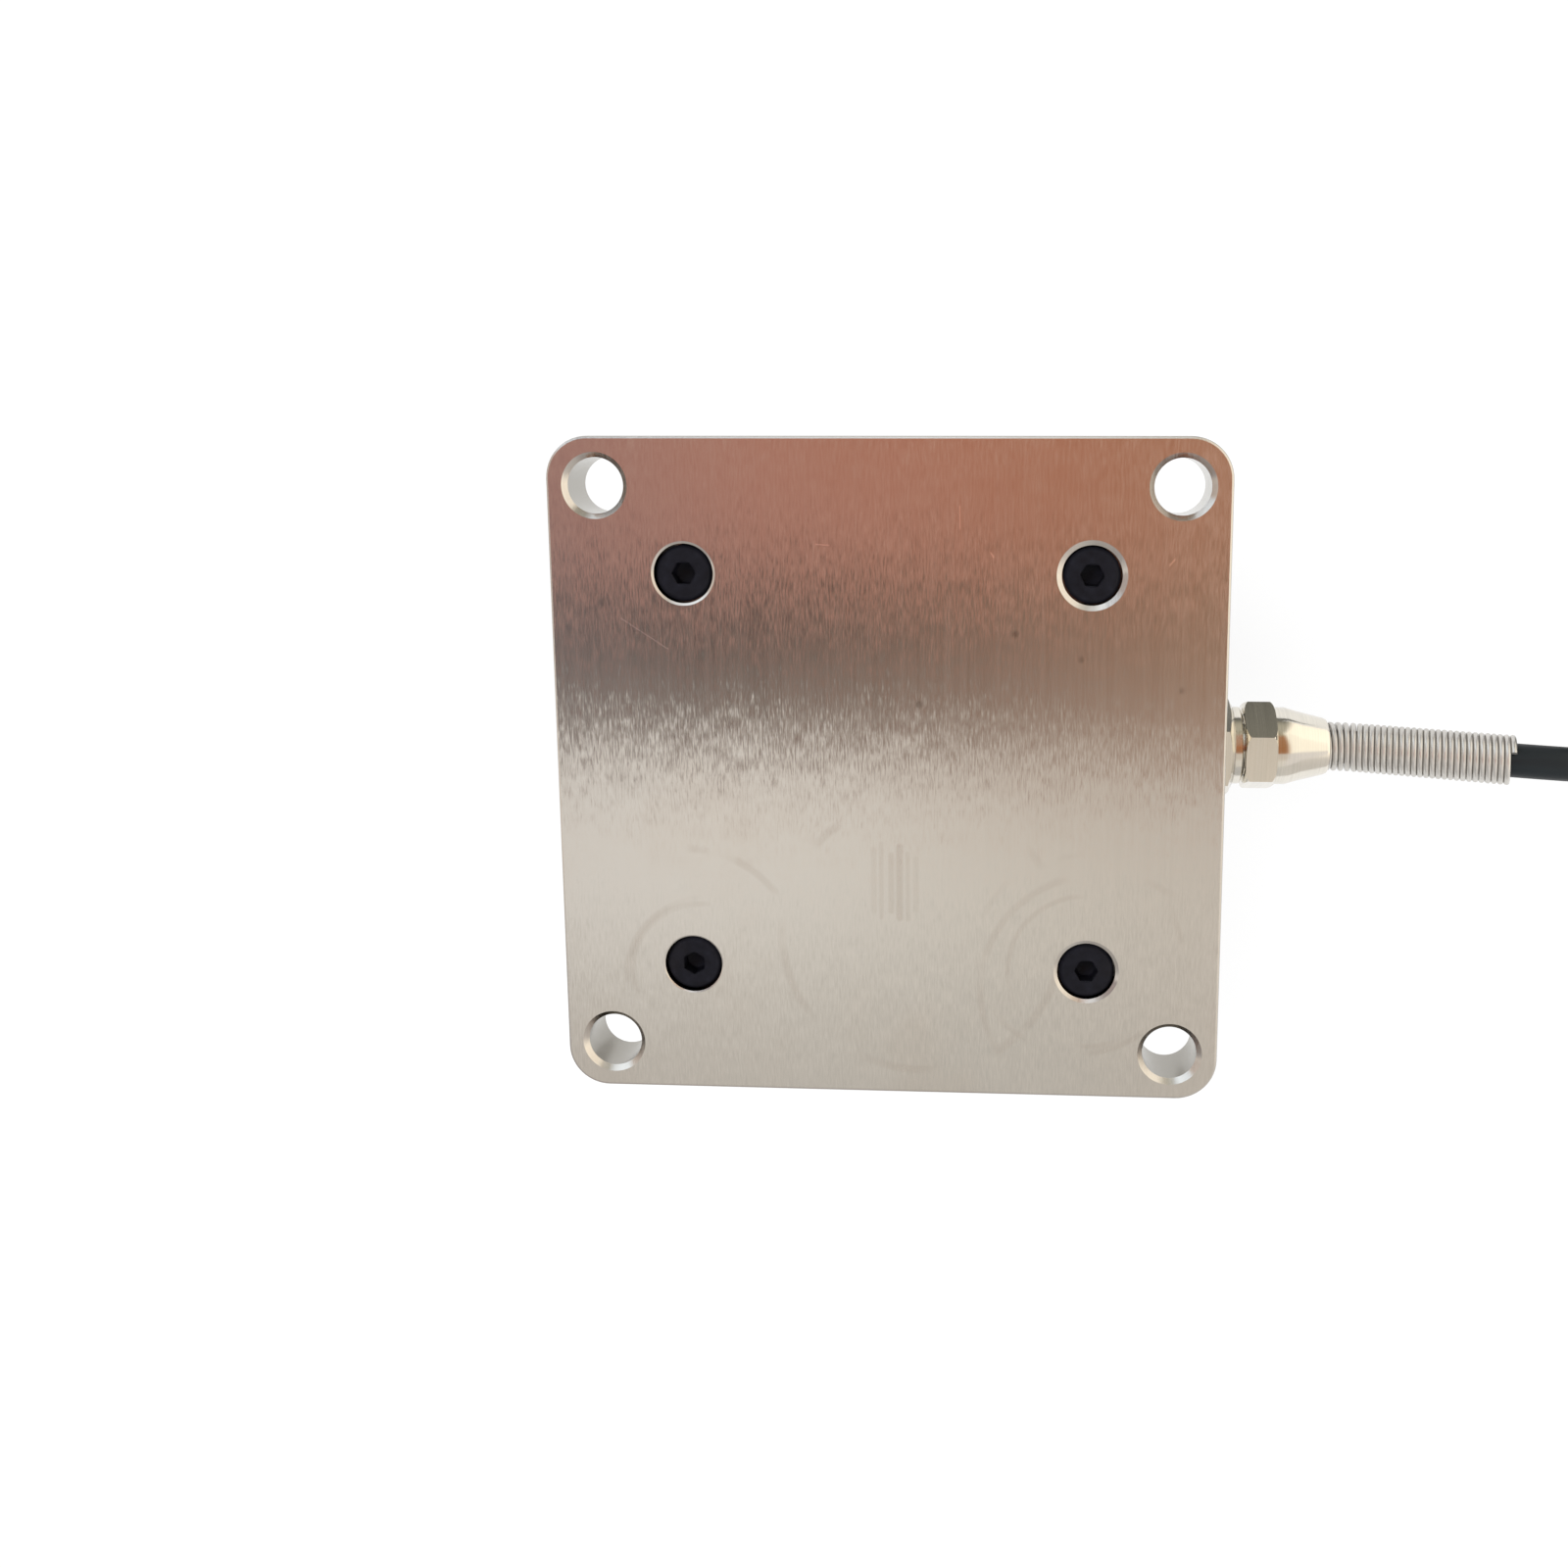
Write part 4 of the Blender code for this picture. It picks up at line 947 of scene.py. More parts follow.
@dataclass
class SpokeBody:
    """The turned and milled sensing element under the plate."""

    radius: float = 38.0
    bottom: float = 7.7
    top: float = 31.7
    inner: float = 29.0
    hub: float = 13.0
    hub_bottom: float = 6.8
    hub_top: float = 29.8
    ledge: float = 30.8
    cover_depth: float = 1.3
    edge_break: float = 0.3
    spoke_height: float = 16.0
    spoke_width: float = 9.0
    spoke_angle: float = 45.0
    web: float = 3.0
    pocket_step: float = 0.4
    gauge_hole: float = 4.5
    port_radius: float = 4.3
    spotface_radius: float = 8.2
    spotface_x: float = 37.4
    screw_pitch: float = 48.0
    hub_circle: float = 9.0
    tapping: tuple[float, float] = (2.3, 8.5)
    pin_hole: tuple[float, float] = (1.8, 4.8)

    def dress(self, palette: Palette) -> None:
        """Builds the body."""
        low, high = AXIS_Z - self.spoke_height / 2, AXIS_Z + self.spoke_height / 2
        edge, ease = self.radius, self.edge_break
        upper, lower = self.top - self.cover_depth, self.bottom + self.cover_depth
        outline = [
            (self.hub, self.hub_top), (self.hub, high), (self.inner, high), (self.inner, upper),
            (self.ledge, upper), (self.ledge, self.top), (edge - ease, self.top),
            (edge, self.top - ease), (edge, self.bottom + ease), (edge - ease, self.bottom),
            (self.ledge, self.bottom), (self.ledge, lower), (self.inner, lower), (self.inner, low),
            (self.hub, low), (self.hub, self.hub_bottom),
        ]
        body = Bench.turned("dressed_spoke_body", outline, 160)
        tools = [self.pockets(low, high), *self.gauge_holes(), *self.drills(), self.port()]
        Bench.work(body, tools)
        hand_over(body, palette.turned_steel, "machined_steel", "spoke_body")

    def pockets(self, low: float, high: float) -> Object:
        """One cutter with the four pockets between the spokes."""
        outer, inner = self.inner - self.pocket_step, self.hub + self.pocket_step
        high, low = high + 2 * PAST, low - 2 * PAST
        outline = [(inner, high), (outer, high), (outer, low), (inner, low)]
        beams = []
        for degrees in (self.spoke_angle, self.spoke_angle + 90):
            bm = bmesh.new()
            size = (2.4 * self.inner * MM, self.spoke_width * MM, (self.spoke_height + 6) * MM)
            bmesh.ops.create_cube(bm, size=1.0, matrix=Matrix.Diagonal((*size, 1.0)))
            beams.append(Bench.keep("beam", bm, at(0.0, 0.0, AXIS_Z) @ turned_by(degrees)))
        return Bench.work(Bench.turned("pocket_ring", outline, 96, ring=True), beams)

    def gauge_holes(self) -> list[Object]:
        """Cutters for the blind holes that leave the gauges' webs."""
        tools = []
        deep = (self.spoke_width - self.web) / 2 + 2 * PAST
        outline = [(self.gauge_hole, deep / 2), (self.gauge_hole, -deep / 2)]
        for x, y, degrees in around((self.inner + self.hub) / 2, 4, self.spoke_angle):
            for side in (-1, 1):
                turn = turned_by(degrees)
                out = turn @ Vector((0.0, side * (self.web + deep) / 2, 0.0))
                place = at(x + out.x, y + out.y, AXIS_Z) @ turn @ turned_by(90, "X")
                tools.append(Bench.turned("gauge_hole", outline, 48, place))
        return tools

    def drills(self) -> list[Object]:
        """Cutters for the tapped holes in the rim and the hub, and for the pins."""
        spots = [(x, y, self.top, -1, self.tapping) for x, y in square(self.screw_pitch)]
        ring = around(self.hub_circle, 4, self.spoke_angle)
        spots += [(x, y, self.hub_bottom, 1, self.tapping) for x, y, _ in ring]
        pins = around(self.hub_circle, 2)
        spots += [(x, y, self.hub_bottom, 1, self.pin_hole) for x, y, _ in pins]
        tools = []
        for x, y, face, way, (radius, depth) in spots:
            low, high = sorted((face - way * PAST, face + way * depth))
            tools.append(Bench.turned("drill", [(radius, high), (radius, low)], 32, at(x, y)))
        return tools

    def port(self) -> Object:
        """The cutter for the gland's hole and its spotface."""
        wide, narrow, step = self.spotface_radius, self.port_radius, self.spotface_x
        outline = [(wide, self.radius + 2), (wide, step), (narrow, step), (narrow, self.inner - 2)]
        return Bench.turned("gland_port", outline, 72, ALONG_X)


@dataclass
class LoadPlate:
    """The plate that the load comes in through, with its screws and threaded holes."""

    radius: float = 32.0
    top: float = 6.5
    edge_break: float = 0.3
    edge_ease: float = 0.1
    bore_radius: float = 3.6
    bore_depth: float = 4.5
    bore_chamfer: float = 0.3
    shank_hole: float = 2.3
    screw_circle: float = 9.0
    screw_seat: float = 4.35
    screw_reach: float = 9.8
    screw_twist: float = math.degrees(0.3)
    user_circle: float = 25.0
    thread_radius: float = 2.5
    thread_pitch: float = 0.8
    thread_depth: float = 0.3
    pin_radius: float = 1.8
    pin_depth: float = 4.8

    def dress(self, palette: Palette) -> None:
        """Builds the load plate and its four screws."""
        edge, ease, top = self.radius, self.edge_break, self.top
        outline = [(edge - ease, top), (edge, top - ease), (edge, ease), (edge - ease, 0.0)]
        plate = Bench.turned("dressed_load_plate", outline, 160, ease=self.edge_ease)
        screws = around(self.screw_circle, 4, 45.0)
        cutters: list[tuple[str, Profile, int, list]] = [
            ("load_counterbore", self.counterbore(), 72, screws),
            ("thread", self.thread(), 48, around(self.user_circle, 4)),
            ("pin_hole", self.pin_hole(), 32, around(self.screw_circle, 2)),
        ]
        tools = [
            Bench.turned(name, cut, steps, at(x, y))
            for name, cut, steps, spots in cutters
            for x, y, _ in spots
        ]
        Bench.work(plate, tools)
        hand_over(plate, palette.turned_steel, "machined_steel", "load_plate")
        down = turned_by(180, "X")
        places = [
            at(x, y, self.screw_seat) @ down @ turned_by(degrees + i * self.screw_twist)
            for i, (x, y, degrees) in enumerate(screws)
        ]
        CapScrew(self.screw_reach).seat(palette, "load_cap_screw", "load_screw", places)

    def counterbore(self) -> Profile:
        """The outline of a counterbore that opens downwards."""
        bore, shank, chamfer = self.bore_radius, self.shank_hole, self.bore_chamfer
        return [
            (shank, self.top + PAST), (shank, self.bore_depth), (bore, self.bore_depth),
            (bore, chamfer), (bore + chamfer + PAST, -PAST),
        ]

    def thread(self) -> Profile:
        """The outline of a cutter whose ridges leave the look of a thread in the hole."""
        mouth, chamfer = self.thread_radius, self.edge_break
        wide = mouth + chamfer + PAST
        outline = [(wide, self.top + PAST), (mouth, self.top - chamfer)]
        height = self.top - 2 * chamfer
        while height > self.thread_pitch:
            outline.append((mouth, height))
            outline.append((mouth - self.thread_depth, height - self.thread_pitch / 2))
            height -= self.thread_pitch
        return [*outline, (mouth, chamfer), (wide, -PAST)]

    def pin_hole(self) -> Profile:
        """The outline of a locating pin's blind hole in the upper face."""
        return [(self.pin_radius, self.top + PAST), (self.pin_radius, self.top - self.pin_depth)]


@dataclass
class CableGland:
    """The washer, the gland's body and the nut with its cone, all about the gland's axis."""

    inner_x: float = 29.0
    washer_x: float = 37.7
    washer_thick: float = 0.8
    washer_radius: float = 6.25
    thread_radius: float = 4.0
    body_hex_x: float = 38.8
    neck_x: float = 43.3
    neck_end: float = 44.3
    body_flats: float = 12.5
    body_turn: float = 5.0
    neck_radius: float = 5.05
    male_radius: float = 3.9
    bore_radius: float = 2.5
    nut_x: float = 44.6
    male_end: float = 48.4
    bush_end: float = 50.7
    collar_x: float = 48.65
    cone_x: float = 50.15
    nose_x: float = 55.6
    nut_flats: float = 10.5
    nut_turn: float = 9.0
    nose_radius: float = 3.5
    mouth_radius: float = 3.32
    mouth_x: float = 54.1
    gap: float = 0.3
    corner_drop: float = 1.05

    def dress(self, palette: Palette) -> list[Object]:
        """Builds the gland.

        Args:
            palette: The materials.

        Returns:
            The gland's body and nut, which are on the cable.
        """
        hole, edge, low = self.thread_radius + self.gap, self.washer_radius, self.washer_x
        high = low + self.washer_thick
        outline = [(hole, high), (edge, high), (edge, low), (hole, low)]
        washer = Bench.turned("dressed_gland_washer", outline, 96, ALONG_X, ring=True)
        hand_over(washer, palette.rubber, "black_rubber", "gland_washer")
        body = hand_over(self.body(), palette.nickel, "nickel_plated_brass", "gland_body")
        nut = hand_over(self.nut(), palette.nickel, "nickel_plated_brass", "gland_nut")
        return [body, nut]

    @staticmethod
    def fitting(
        name: str, bar: Sequence[float], trim: Profile, core: Profile, bore: Profile, facets: int
    ) -> Object:
        """Makes a hexagonal fitting with a turned core and a bore.

        Args:
            name: The piece's name.
            bar: The hexagon's width across flats, its two ends and its turn in degrees.
            trim: The outline that its corners are turned down to.
            core: The outline of its turned part.
            bore: The outline of its bore.
            facets: Facets round its bore.

        Returns:
            The fitting, on the gland's axis.
        """
        flats, low, high, degrees = bar
        fitting = Bench.hexagon(name, flats, low, high, ALONG_X @ turned_by(degrees))
        jobs = ((trim, Join.KEEP_SHARED, 144), (core, Join.WELD, 144), (bore, Join.CUT, facets))
        for outline, how, steps in jobs:
            Bench.work(fitting, [Bench.turned("gland_tool", outline, steps, ALONG_X)], how)
        return fitting

    def body(self) -> Object:
        """The part that screws into the rim."""
        shoulder, wide = self.neck_radius + 0.1, self.body_flats / 2 / COS_30 + PAST
        drop, start, end = (wide - shoulder) / 2, self.body_hex_x, self.neck_x
        trim = [(shoulder, end), (wide, end - drop), (wide, start - PAST)]
        male, neck, thread = self.male_radius, self.neck_radius, self.thread_radius
        middle = (start + end) / 2
        core = [
            (male - 0.2, self.male_end), (male, self.male_end - 0.2), (male, self.neck_end),
            (neck - 0.15, self.neck_end), (neck, self.neck_end - 0.15), (neck, middle),
            (thread, middle), (thread, self.inner_x + 0.4), (thread - 0.4, self.inner_x),
        ]
        bore = [(self.bore_radius, self.male_end + 1), (self.bore_radius, self.inner_x - 1)]
        bar = (self.body_flats, start, end, self.body_turn)
        return self.fitting("dressed_gland_body", bar, trim, core, bore, 72)

    def nut(self) -> Object:
        """The hexagon, collar and cone in one piece."""
        face, wide = self.nut_flats / 2 - 0.1, self.nut_flats / 2 / COS_30 + 0.1
        bows = [(face, 0.0)] + [
            (face + (wide - face) * math.sin(a), self.corner_drop * (1 - math.cos(a)))
            for a in map(math.radians, (20, 40, 60, 75, 90))
        ]
        trim = [(radius, self.collar_x - drop) for radius, drop in bows]
        trim += [(radius, self.nut_x + drop) for radius, drop in reversed(bows)]
        neck, nose, middle = self.neck_radius, self.nose_radius, (self.nut_x + self.collar_x) / 2
        core = [
            (nose - 0.12, self.nose_x), (nose + 0.08, self.nose_x - 0.12),
            (nose + 0.25, self.nose_x - 0.5), (neck - 0.49, self.cone_x + 1.65),
            (neck, self.cone_x), (neck, middle),
        ]
        male, step = self.male_radius + self.gap, self.bush_end + self.gap
        bore = [
            (self.mouth_radius, self.nose_x + 1), (self.mouth_radius, self.mouth_x),
            (self.bore_radius, self.mouth_x), (self.bore_radius, step), (male, step),
            (male, self.nut_x - 1),
        ]
        bar = (self.nut_flats, self.nut_x, self.collar_x, self.nut_turn)
        return self.fitting("dressed_gland_nut", bar, trim, core, bore, 96)


@dataclass
class StrainRelief:
    """The close-wound spring round the cable, which leans a little from the gland's axis."""

    start_x: float = 54.75
    wire: float = 0.74
    radius: float = 2.84
    pitch: float = 0.745
    turns: float = 31.0
    end_turn: float = math.radians(29)
    lean: float = math.radians(1.1)
    rise: float = math.radians(15)
    straight: float = 1.0
    bend: float = 3.0
    steps: int = 40

    def axis(self, along: float) -> tuple[Vector, Vector]:
        """The spring's centre line, which rises with the cable.

        Args:
            along: The distance from its first turn, on the inside of the bend.

        Returns:
            The place there and the way that the line runs.
        """
        whole = math.acos(math.cos(self.lean) * math.cos(self.rise))
        side = Vector((0.0, -math.sin(self.lean) * math.cos(self.rise), math.sin(self.rise)))
        side.normalize()
        angle = whole * min(1.0, max(0.0, (along - self.straight) / self.bend))
        after = max(along - self.straight - self.bend, 0.0)
        bend_radius = self.bend / whole + self.radius
        advance = min(along, self.straight) + bend_radius * math.sin(angle)
        advance += after * math.cos(whole)
        aside = bend_radius * (1 - math.cos(angle)) + after * math.sin(whole)
        place = Vector((self.start_x + advance, 0.0, AXIS_Z)) + aside * side
        return place, Vector((math.cos(angle), 0.0, 0.0)) + math.sin(angle) * side

    def dress(self, palette: Palette) -> list[Object]:
        """Winds the spring.

        Args:
            palette: The materials.

        Returns:
            The piece, in a list.
        """
        points = []
        for i in range(round(self.turns * self.steps) + 1):
            turn = i / self.steps
            centre, ahead = self.axis(turn * self.pitch)
            aside = UP.cross(ahead).normalized()
            up = ahead.cross(aside)
            angle = self.end_turn + (self.turns - turn) * math.tau
            points.append(centre + self.radius * (math.cos(angle) * up + math.sin(angle) * aside))
        spring = Bench.drawn("wound_spring", points, self.wire, 3)
        return [hand_over(spring, palette.spring, "spring_steel", "strain_relief_spring")]


@dataclass
class Cable:
    """The cable: out through the gland, into a neat coil, and on to its free end.

    Its diameter, length and exit are in metres.
    """

    diameter: float = 4.4 * MM
    length: float = 1.9
    exit: tuple[float, float, float] = (0.0556, 0.0, AXIS_Z * MM)
    centre: tuple[float, float] = (129.5, 25.9)
    middle_radius: float = 26.4
    pitch: float = 4.5
    columns: int = 3
    layers: int = 4
    entry: float = -94.0
    shift: float = 75.0
    tail_from: float = 3600.0
    tail_to: float = 3699.0
    tail_radius: float = 35.65
    tail_height: float = 2.5
    point_every: float = 8.0
    sleeve_radius: float = 2.5
    sleeve_length: float = 8.0
    lead_diameter: float = 1.2
    lead_offset: float = 1.0
    lead_length: float = 20.0
    lead_splay: float = 2.5
    lead_swing: float = 3.3
    lead_step: float = 0.5
    bare_length: float = 5.0
    gap: float = 0.3

    def lead_in(self) -> list[Vector]:
        """The points from inside the rim, through the spring, down to the coil."""
        relief = StrainRelief()
        wound = relief.turns * relief.pitch
        straight = [(x, 0.0, AXIS_Z) for x in (28.0, 42.0, 53.0)]
        along = [0.5, 1.5, 2.5, 3.5, 5.0, *(wound * share for share in (0.4, 0.6, 0.8, 1.0))]
        free = [
            (84.3, -0.70, 25.6), (87.7, -0.92, 25.0), (90.8, -1.20, 23.8), (93.7, -1.55, 22.0),
            (97.1, -2.00, 19.5), (100.2, -2.40, 17.8), (103.4, -2.85, 16.6), (106.9, -3.35, 16.0),
            (109.8, -3.68, 15.9), (119.0, -4.32, 15.75),
        ]
        return [Vector(p) for p in (*straight, *(relief.axis(a)[0] for a in along), *free)]

    def steps_of_coil(self) -> list[tuple[float, float, float, float, float]]:
        """Works out where the winding steps to its next turn or layer.

        Returns:
            Start in degrees along the winding, then radius and height before and after.
        """
        outer = self.middle_radius + self.pitch
        radii = [outer - self.pitch * i for i in range(self.columns)]
        heights = [(self.layers - 0.5 - i) * self.pitch for i in range(self.layers)]
        steps = []
        start, column, way = 360.0 - self.shift, 0, 1
        for layer, height in enumerate(heights):
            for _ in range(self.columns - 1):
                steps.append((start, radii[column], radii[column + way], height, height))
                column += way
                start += 360.0
            way = -way
            start -= self.shift
            if layer + 1 < self.layers:
                steps.append((start, radii[column], radii[column], height, heights[layer + 1]))
                start += 360.0 - self.shift
        steps.append((self.tail_from, outer, self.tail_radius, heights[-1], self.tail_height))
        return steps

    def winding(self) -> list[Vector]:
        """Lays out the coil and the tail.

        Returns:
            Points at equal angles along them.
        """
        steps = self.steps_of_coil()
        points = []
        degrees = 0.0
        while degrees <= self.tail_to:
            radius, height = steps[0][1], steps[0][3]
            for start, from_radius, to_radius, from_height, to_height in steps:
                share = min(1.0, max(0.0, (degrees - start) / self.shift))
                if share == 0.0:
                    break
                eased = 2 * share**2 if share < 0.5 else 1 - 2 * (1 - share) ** 2
                radius = from_radius + (to_radius - from_radius) * eased
                height = from_height + (to_height - from_height) * eased
            angle = math.radians(self.entry + degrees)
            x = self.centre[0] + radius * math.cos(angle)
            y = self.centre[1] + radius * math.sin(angle)
            points.append(Vector((x, y, height)))
            degrees += self.point_every
        return points

    def dress(self, palette: Palette, on_cable: list[Object]) -> None:
        """Args:
            palette: The materials.
            on_cable: The gland and the spring, which are on the cable.
        """
        points = Bench.smooth_route(self.lead_in(), 1.6) + self.winding()
        cable = Bench.drawn("signal_cable", points, self.diameter / MM, 6)
        hand_over(cable, palette.jacket, "black_cable_jacket", "cable", "cable_coil", "cable_tail")
        end, ahead = points[-1], (points[-1] - points[-2]).normalized()
        ahead.z = 0.0
        pieces = [*on_cable, "gland_bush", *self.free_end(palette, end, ahead.normalized())]

    def free_end(self, palette: Palette, end: Vector, ahead: Vector) -> list[Object]:
        """Makes the sleeve and the four stripped leads.

        Args:
            palette: The materials.
            end: The end of the cable.
            ahead: The way that the cable points there.

        Returns:
            The pieces.
        """
        start = end + self.gap * ahead
        start.z = self.sleeve_radius + self.gap
        place = at(*start) @ UP.rotation_difference(ahead).to_matrix().to_4x4()
        radius, long = self.sleeve_radius, self.sleeve_length
        outline = [
            (radius * 0.80, long), (radius * 0.90, long - 0.4), (radius * 0.93, long * 0.72),
            (radius, long * 0.55), (radius, 0.25), (radius - 0.12, 0.0),
        ]
        sleeve = Bench.turned("shrunk_end_sleeve", outline, 64, place, ease=0.5)
        made = [hand_over(sleeve, palette.rubber, "black_rubber", "cable_end_sleeve")]
        face = start + (long + self.gap) * ahead
        aside = Vector((ahead.y, -ahead.x, 0.0))
        floor, bare = self.lead_diameter / 2 + self.gap, round(self.bare_length / self.lead_step)
        for i, (shade, material) in enumerate(palette.insulation.items()):
            out, rise = (self.lead_offset * (1 if far else -1) for far in (i % 2, i > 1))
            root = face + out * aside + rise * UP
            spread = (i - 1.5) * self.lead_splay - self.lead_swing
            half = face + self.lead_length * 0.6 * ahead + spread * 0.7 * aside
            half.z = (root.z + floor) / 2
            last = face + self.lead_length * ahead + spread * aside
            last.z = floor
            route = [root, root + self.lead_length * 0.2 * ahead, half, last]
            line = Bench.smooth_route(route, self.lead_step)
            lead = Bench.drawn(f"lead_{shade}_insulated", line[:-bare], self.lead_diameter, 4)
            made.append(hand_over(lead, material, f"{shade}_insulation", f"lead_{shade}"))
            tip = Bench.drawn(f"lead_{shade}_tip", line[-bare - 2 :], self.lead_diameter * 0.6, 3)
            made.append(hand_over(tip, palette.tinned, "spring_steel"))
        return made


def finish_plain_solids(palette: Palette) -> None:
    """Gives the solids that keep their own shape their materials."""
    finishes = dict.fromkeys(("upper_cover", "lower_cover"), palette.turned_steel)
    finishes |= dict.fromkeys(("hub_seal", "gland_bush"), palette.rubber)
    finishes["bridge_board"] = palette.board
    for i in (1, 2):
        finishes[f"locating_pin_{i}"] = palette.turned_steel
        finishes[f"board_spacer_{i}"] = finishes[f"board_screw_{i}"] = palette.nickel
    finishes |= {f"strain_gauge_{i}": palette.film for i in range(1, 9)}
    finishes |= {f"core_{shade}": made for shade, made in palette.insulation.items()}
    for name, material in finishes.items():
        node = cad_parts[name]
        node.data.materials.clear()
        node.data.materials.append(material)
        LOG.info("%s keeps its solid, in %s", name, material.name)


# The studio


@dataclass
class Studio:
    """Pale floor, soft light, reflector cards, a painted shadow sheet and the camera, in metres."""

    camera_place: tuple[float, float, float] = (0.01694, 0.03899, 0.20678)
    camera_turn: tuple[float, float, float] = (-8.829, 3.257, 0.037)
    lens: float = 33.01
    shift: tuple[float, float] = (-0.10575, -0.0739)
    floor_half: float = 3.0
    floor_colour: Colour = (0.92, 0.92, 0.92)
    floor_glow: float = 0.86
    world_light: float = 0.62
    card_height: float = 0.64
    wall_radius: float = 0.70
    wall_height: float = 0.50
    wall_middle: float = 0.251
    # Painted shadow: a dark sheet on the floor that only reflections see.
    shadow_strip_place: tuple[float, float, float] = (0.105, 0.40, 0.0015)
    shadow_strip_size: tuple[float, float] = (0.14, 0.60)
    shadow_strip_turn: float = -9.0
    shade_colour: Colour = (0.14, 0.14, 0.13)
    lamp_aim: tuple[float, float, float] = (0.02, 0.0, 0.02)

    def build(self) -> None:
        """Sets everything up."""
        scene = bpy.context.scene
        scene.view_settings.view_transform = "Standard"
        self.add_camera(scene)
        self.add_world(scene)
        self.add_floor()
        ceiling = self.sheet("ceiling_card", 1.0, Matrix.Translation((0.0, 0.0, self.card_height)))
        self.make_card(ceiling, self.ceiling_colour)
        self.make_card(self.horizon_wall(), self.horizon_colour)
        # Painted shadow: a dark sheet on the floor, seen only in reflections, stands in for shade
        # on the floor.
        place = Matrix.Translation(self.shadow_strip_place) @ turned_by(self.shadow_strip_turn)
        place = place @ Matrix.Diagonal((*self.shadow_strip_size, 1.0, 1.0))
        strip = self.sheet("painted_shadow_strip", 0.5, place)
        self.make_card(strip, lambda wires: self.shade_colour)
        self.add_lamp("key_softbox", (-0.35, 0.30, 0.75), 0.7, 7.0)
        self.add_lamp("fill_softbox", (0.45, -0.35, 0.70), 0.8, 5.0)

    def add_camera(self, scene: bpy.types.Scene) -> None:
        """The photograph's own viewing point."""
        data = bpy.data.cameras.new("photo_camera")
        data.lens = self.lens
        data.sensor_width = 36.0
        data.sensor_fit = "HORIZONTAL"
        data.shift_x, data.shift_y = self.shift
        data.clip_start, data.clip_end = 0.005, 10.0
        camera = Bench.link("photo_camera", data)
        camera.location = self.camera_place
        camera.rotation_euler = [math.radians(a) for a in self.camera_turn]
        scene.camera = camera

    def add_world(self, scene: bpy.types.Scene) -> None:
        """A white surround that lights the object softly."""
        world = bpy.data.worlds.new("white_surround")
        scene.world = world
        world.use_nodes = True
        wires = Wiring(world.node_tree)
        background = world.node_tree.nodes["Background"].inputs
        path = wires.node("LightPath").outputs
        seen = wires.sum("MAXIMUM", path["Is Camera Ray"], path["Is Glossy Ray"])
        seen = wires.sum("MAXIMUM", seen, path["Is Transmission Ray"])
        wires.give(background["Strength"], wires.span(seen, 0.0, 1.0, self.world_light, 1.0))
        wires.give(background["Color"], WHITE)

    @staticmethod
    def sheet(name: str, half: float, place: Matrix = HERE) -> Object:
        """A flat square."""
        bm = bmesh.new()
        bmesh.ops.create_grid(bm, x_segments=1, y_segments=1, size=half)
        return Bench.keep(name, bm, place)

    @staticmethod
    def material_of(piece: Object) -> tuple[Wiring, Node, NodeSocket]:
        """Starts a piece's material.

        Args:
            piece: The piece, which gets the material.

        Returns:
            Its wiring, its Principled node and the input of its output node.
        """
        material = bpy.data.materials.new(piece.name)
        material.use_nodes = True
        piece.data.materials.append(material)
        nodes = material.node_tree.nodes
        output = nodes["Material Output"].inputs[0]
        return Wiring(material.node_tree), nodes["Principled BSDF"], output

    def add_floor(self) -> None:
        """The pale floor, which shows the object's soft shadow."""
        floor = self.sheet("pale_floor", self.floor_half)
        wires, surface, output = self.material_of(floor)
        wires.give(surface.inputs["Base Color"], self.floor_colour)
        wires.give(surface.inputs["Roughness"], 0.9)
        wires.give(surface.inputs["Specular IOR Level"], 0.0)
        glow = wires.node("Emission", {"Color": WHITE, "Strength": 1.0}).outputs[0]
        path = wires.node("LightPath").outputs
        seen = wires.sum("MAXIMUM", path["Is Camera Ray"], path["Is Glossy Ray"])
        share = wires.times(seen, self.floor_glow)
        mixed = wires.node("MixShader", {0: share, 1: surface.outputs[0], 2: glow})
        wires.give(output, mixed.outputs[0])

    def make_card(self, card: Object, paint: Callable[[Wiring], object]) -> None:
        """Makes a sheet glow, and hides it from everything but reflections.

        Args:
            card: The sheet or wall.
            paint: What gives its colour.
        """
        wires, surface, output = self.material_of(card)
        wires.tree.nodes.remove(surface)
        glow = wires.node("Emission", {"Color": paint(wires), "Strength": 1.0})
        wires.give(output, glow.outputs[0])
        card.visible_camera = card.visible_diffuse = False
        card.visible_shadow = card.visible_transmission = False

    @staticmethod
    def bands(wires: Wiring, along: NodeSocket, stops: Stops) -> NodeSocket:
        """Lays colours along a card.

        Args:
            wires: The material's wiring.
            along: The place on the card.
            stops: The colours at given places.

        Returns:
            The colour.
        """
        low, high = stops[0][0], stops[-1][0]
        share = wires.span(along, low, high, 0.0, 1.0, how="LINEAR")
        placed = [((place - low) / (high - low), colour) for place, colour in stops]
        return wires.ramp(share, placed)

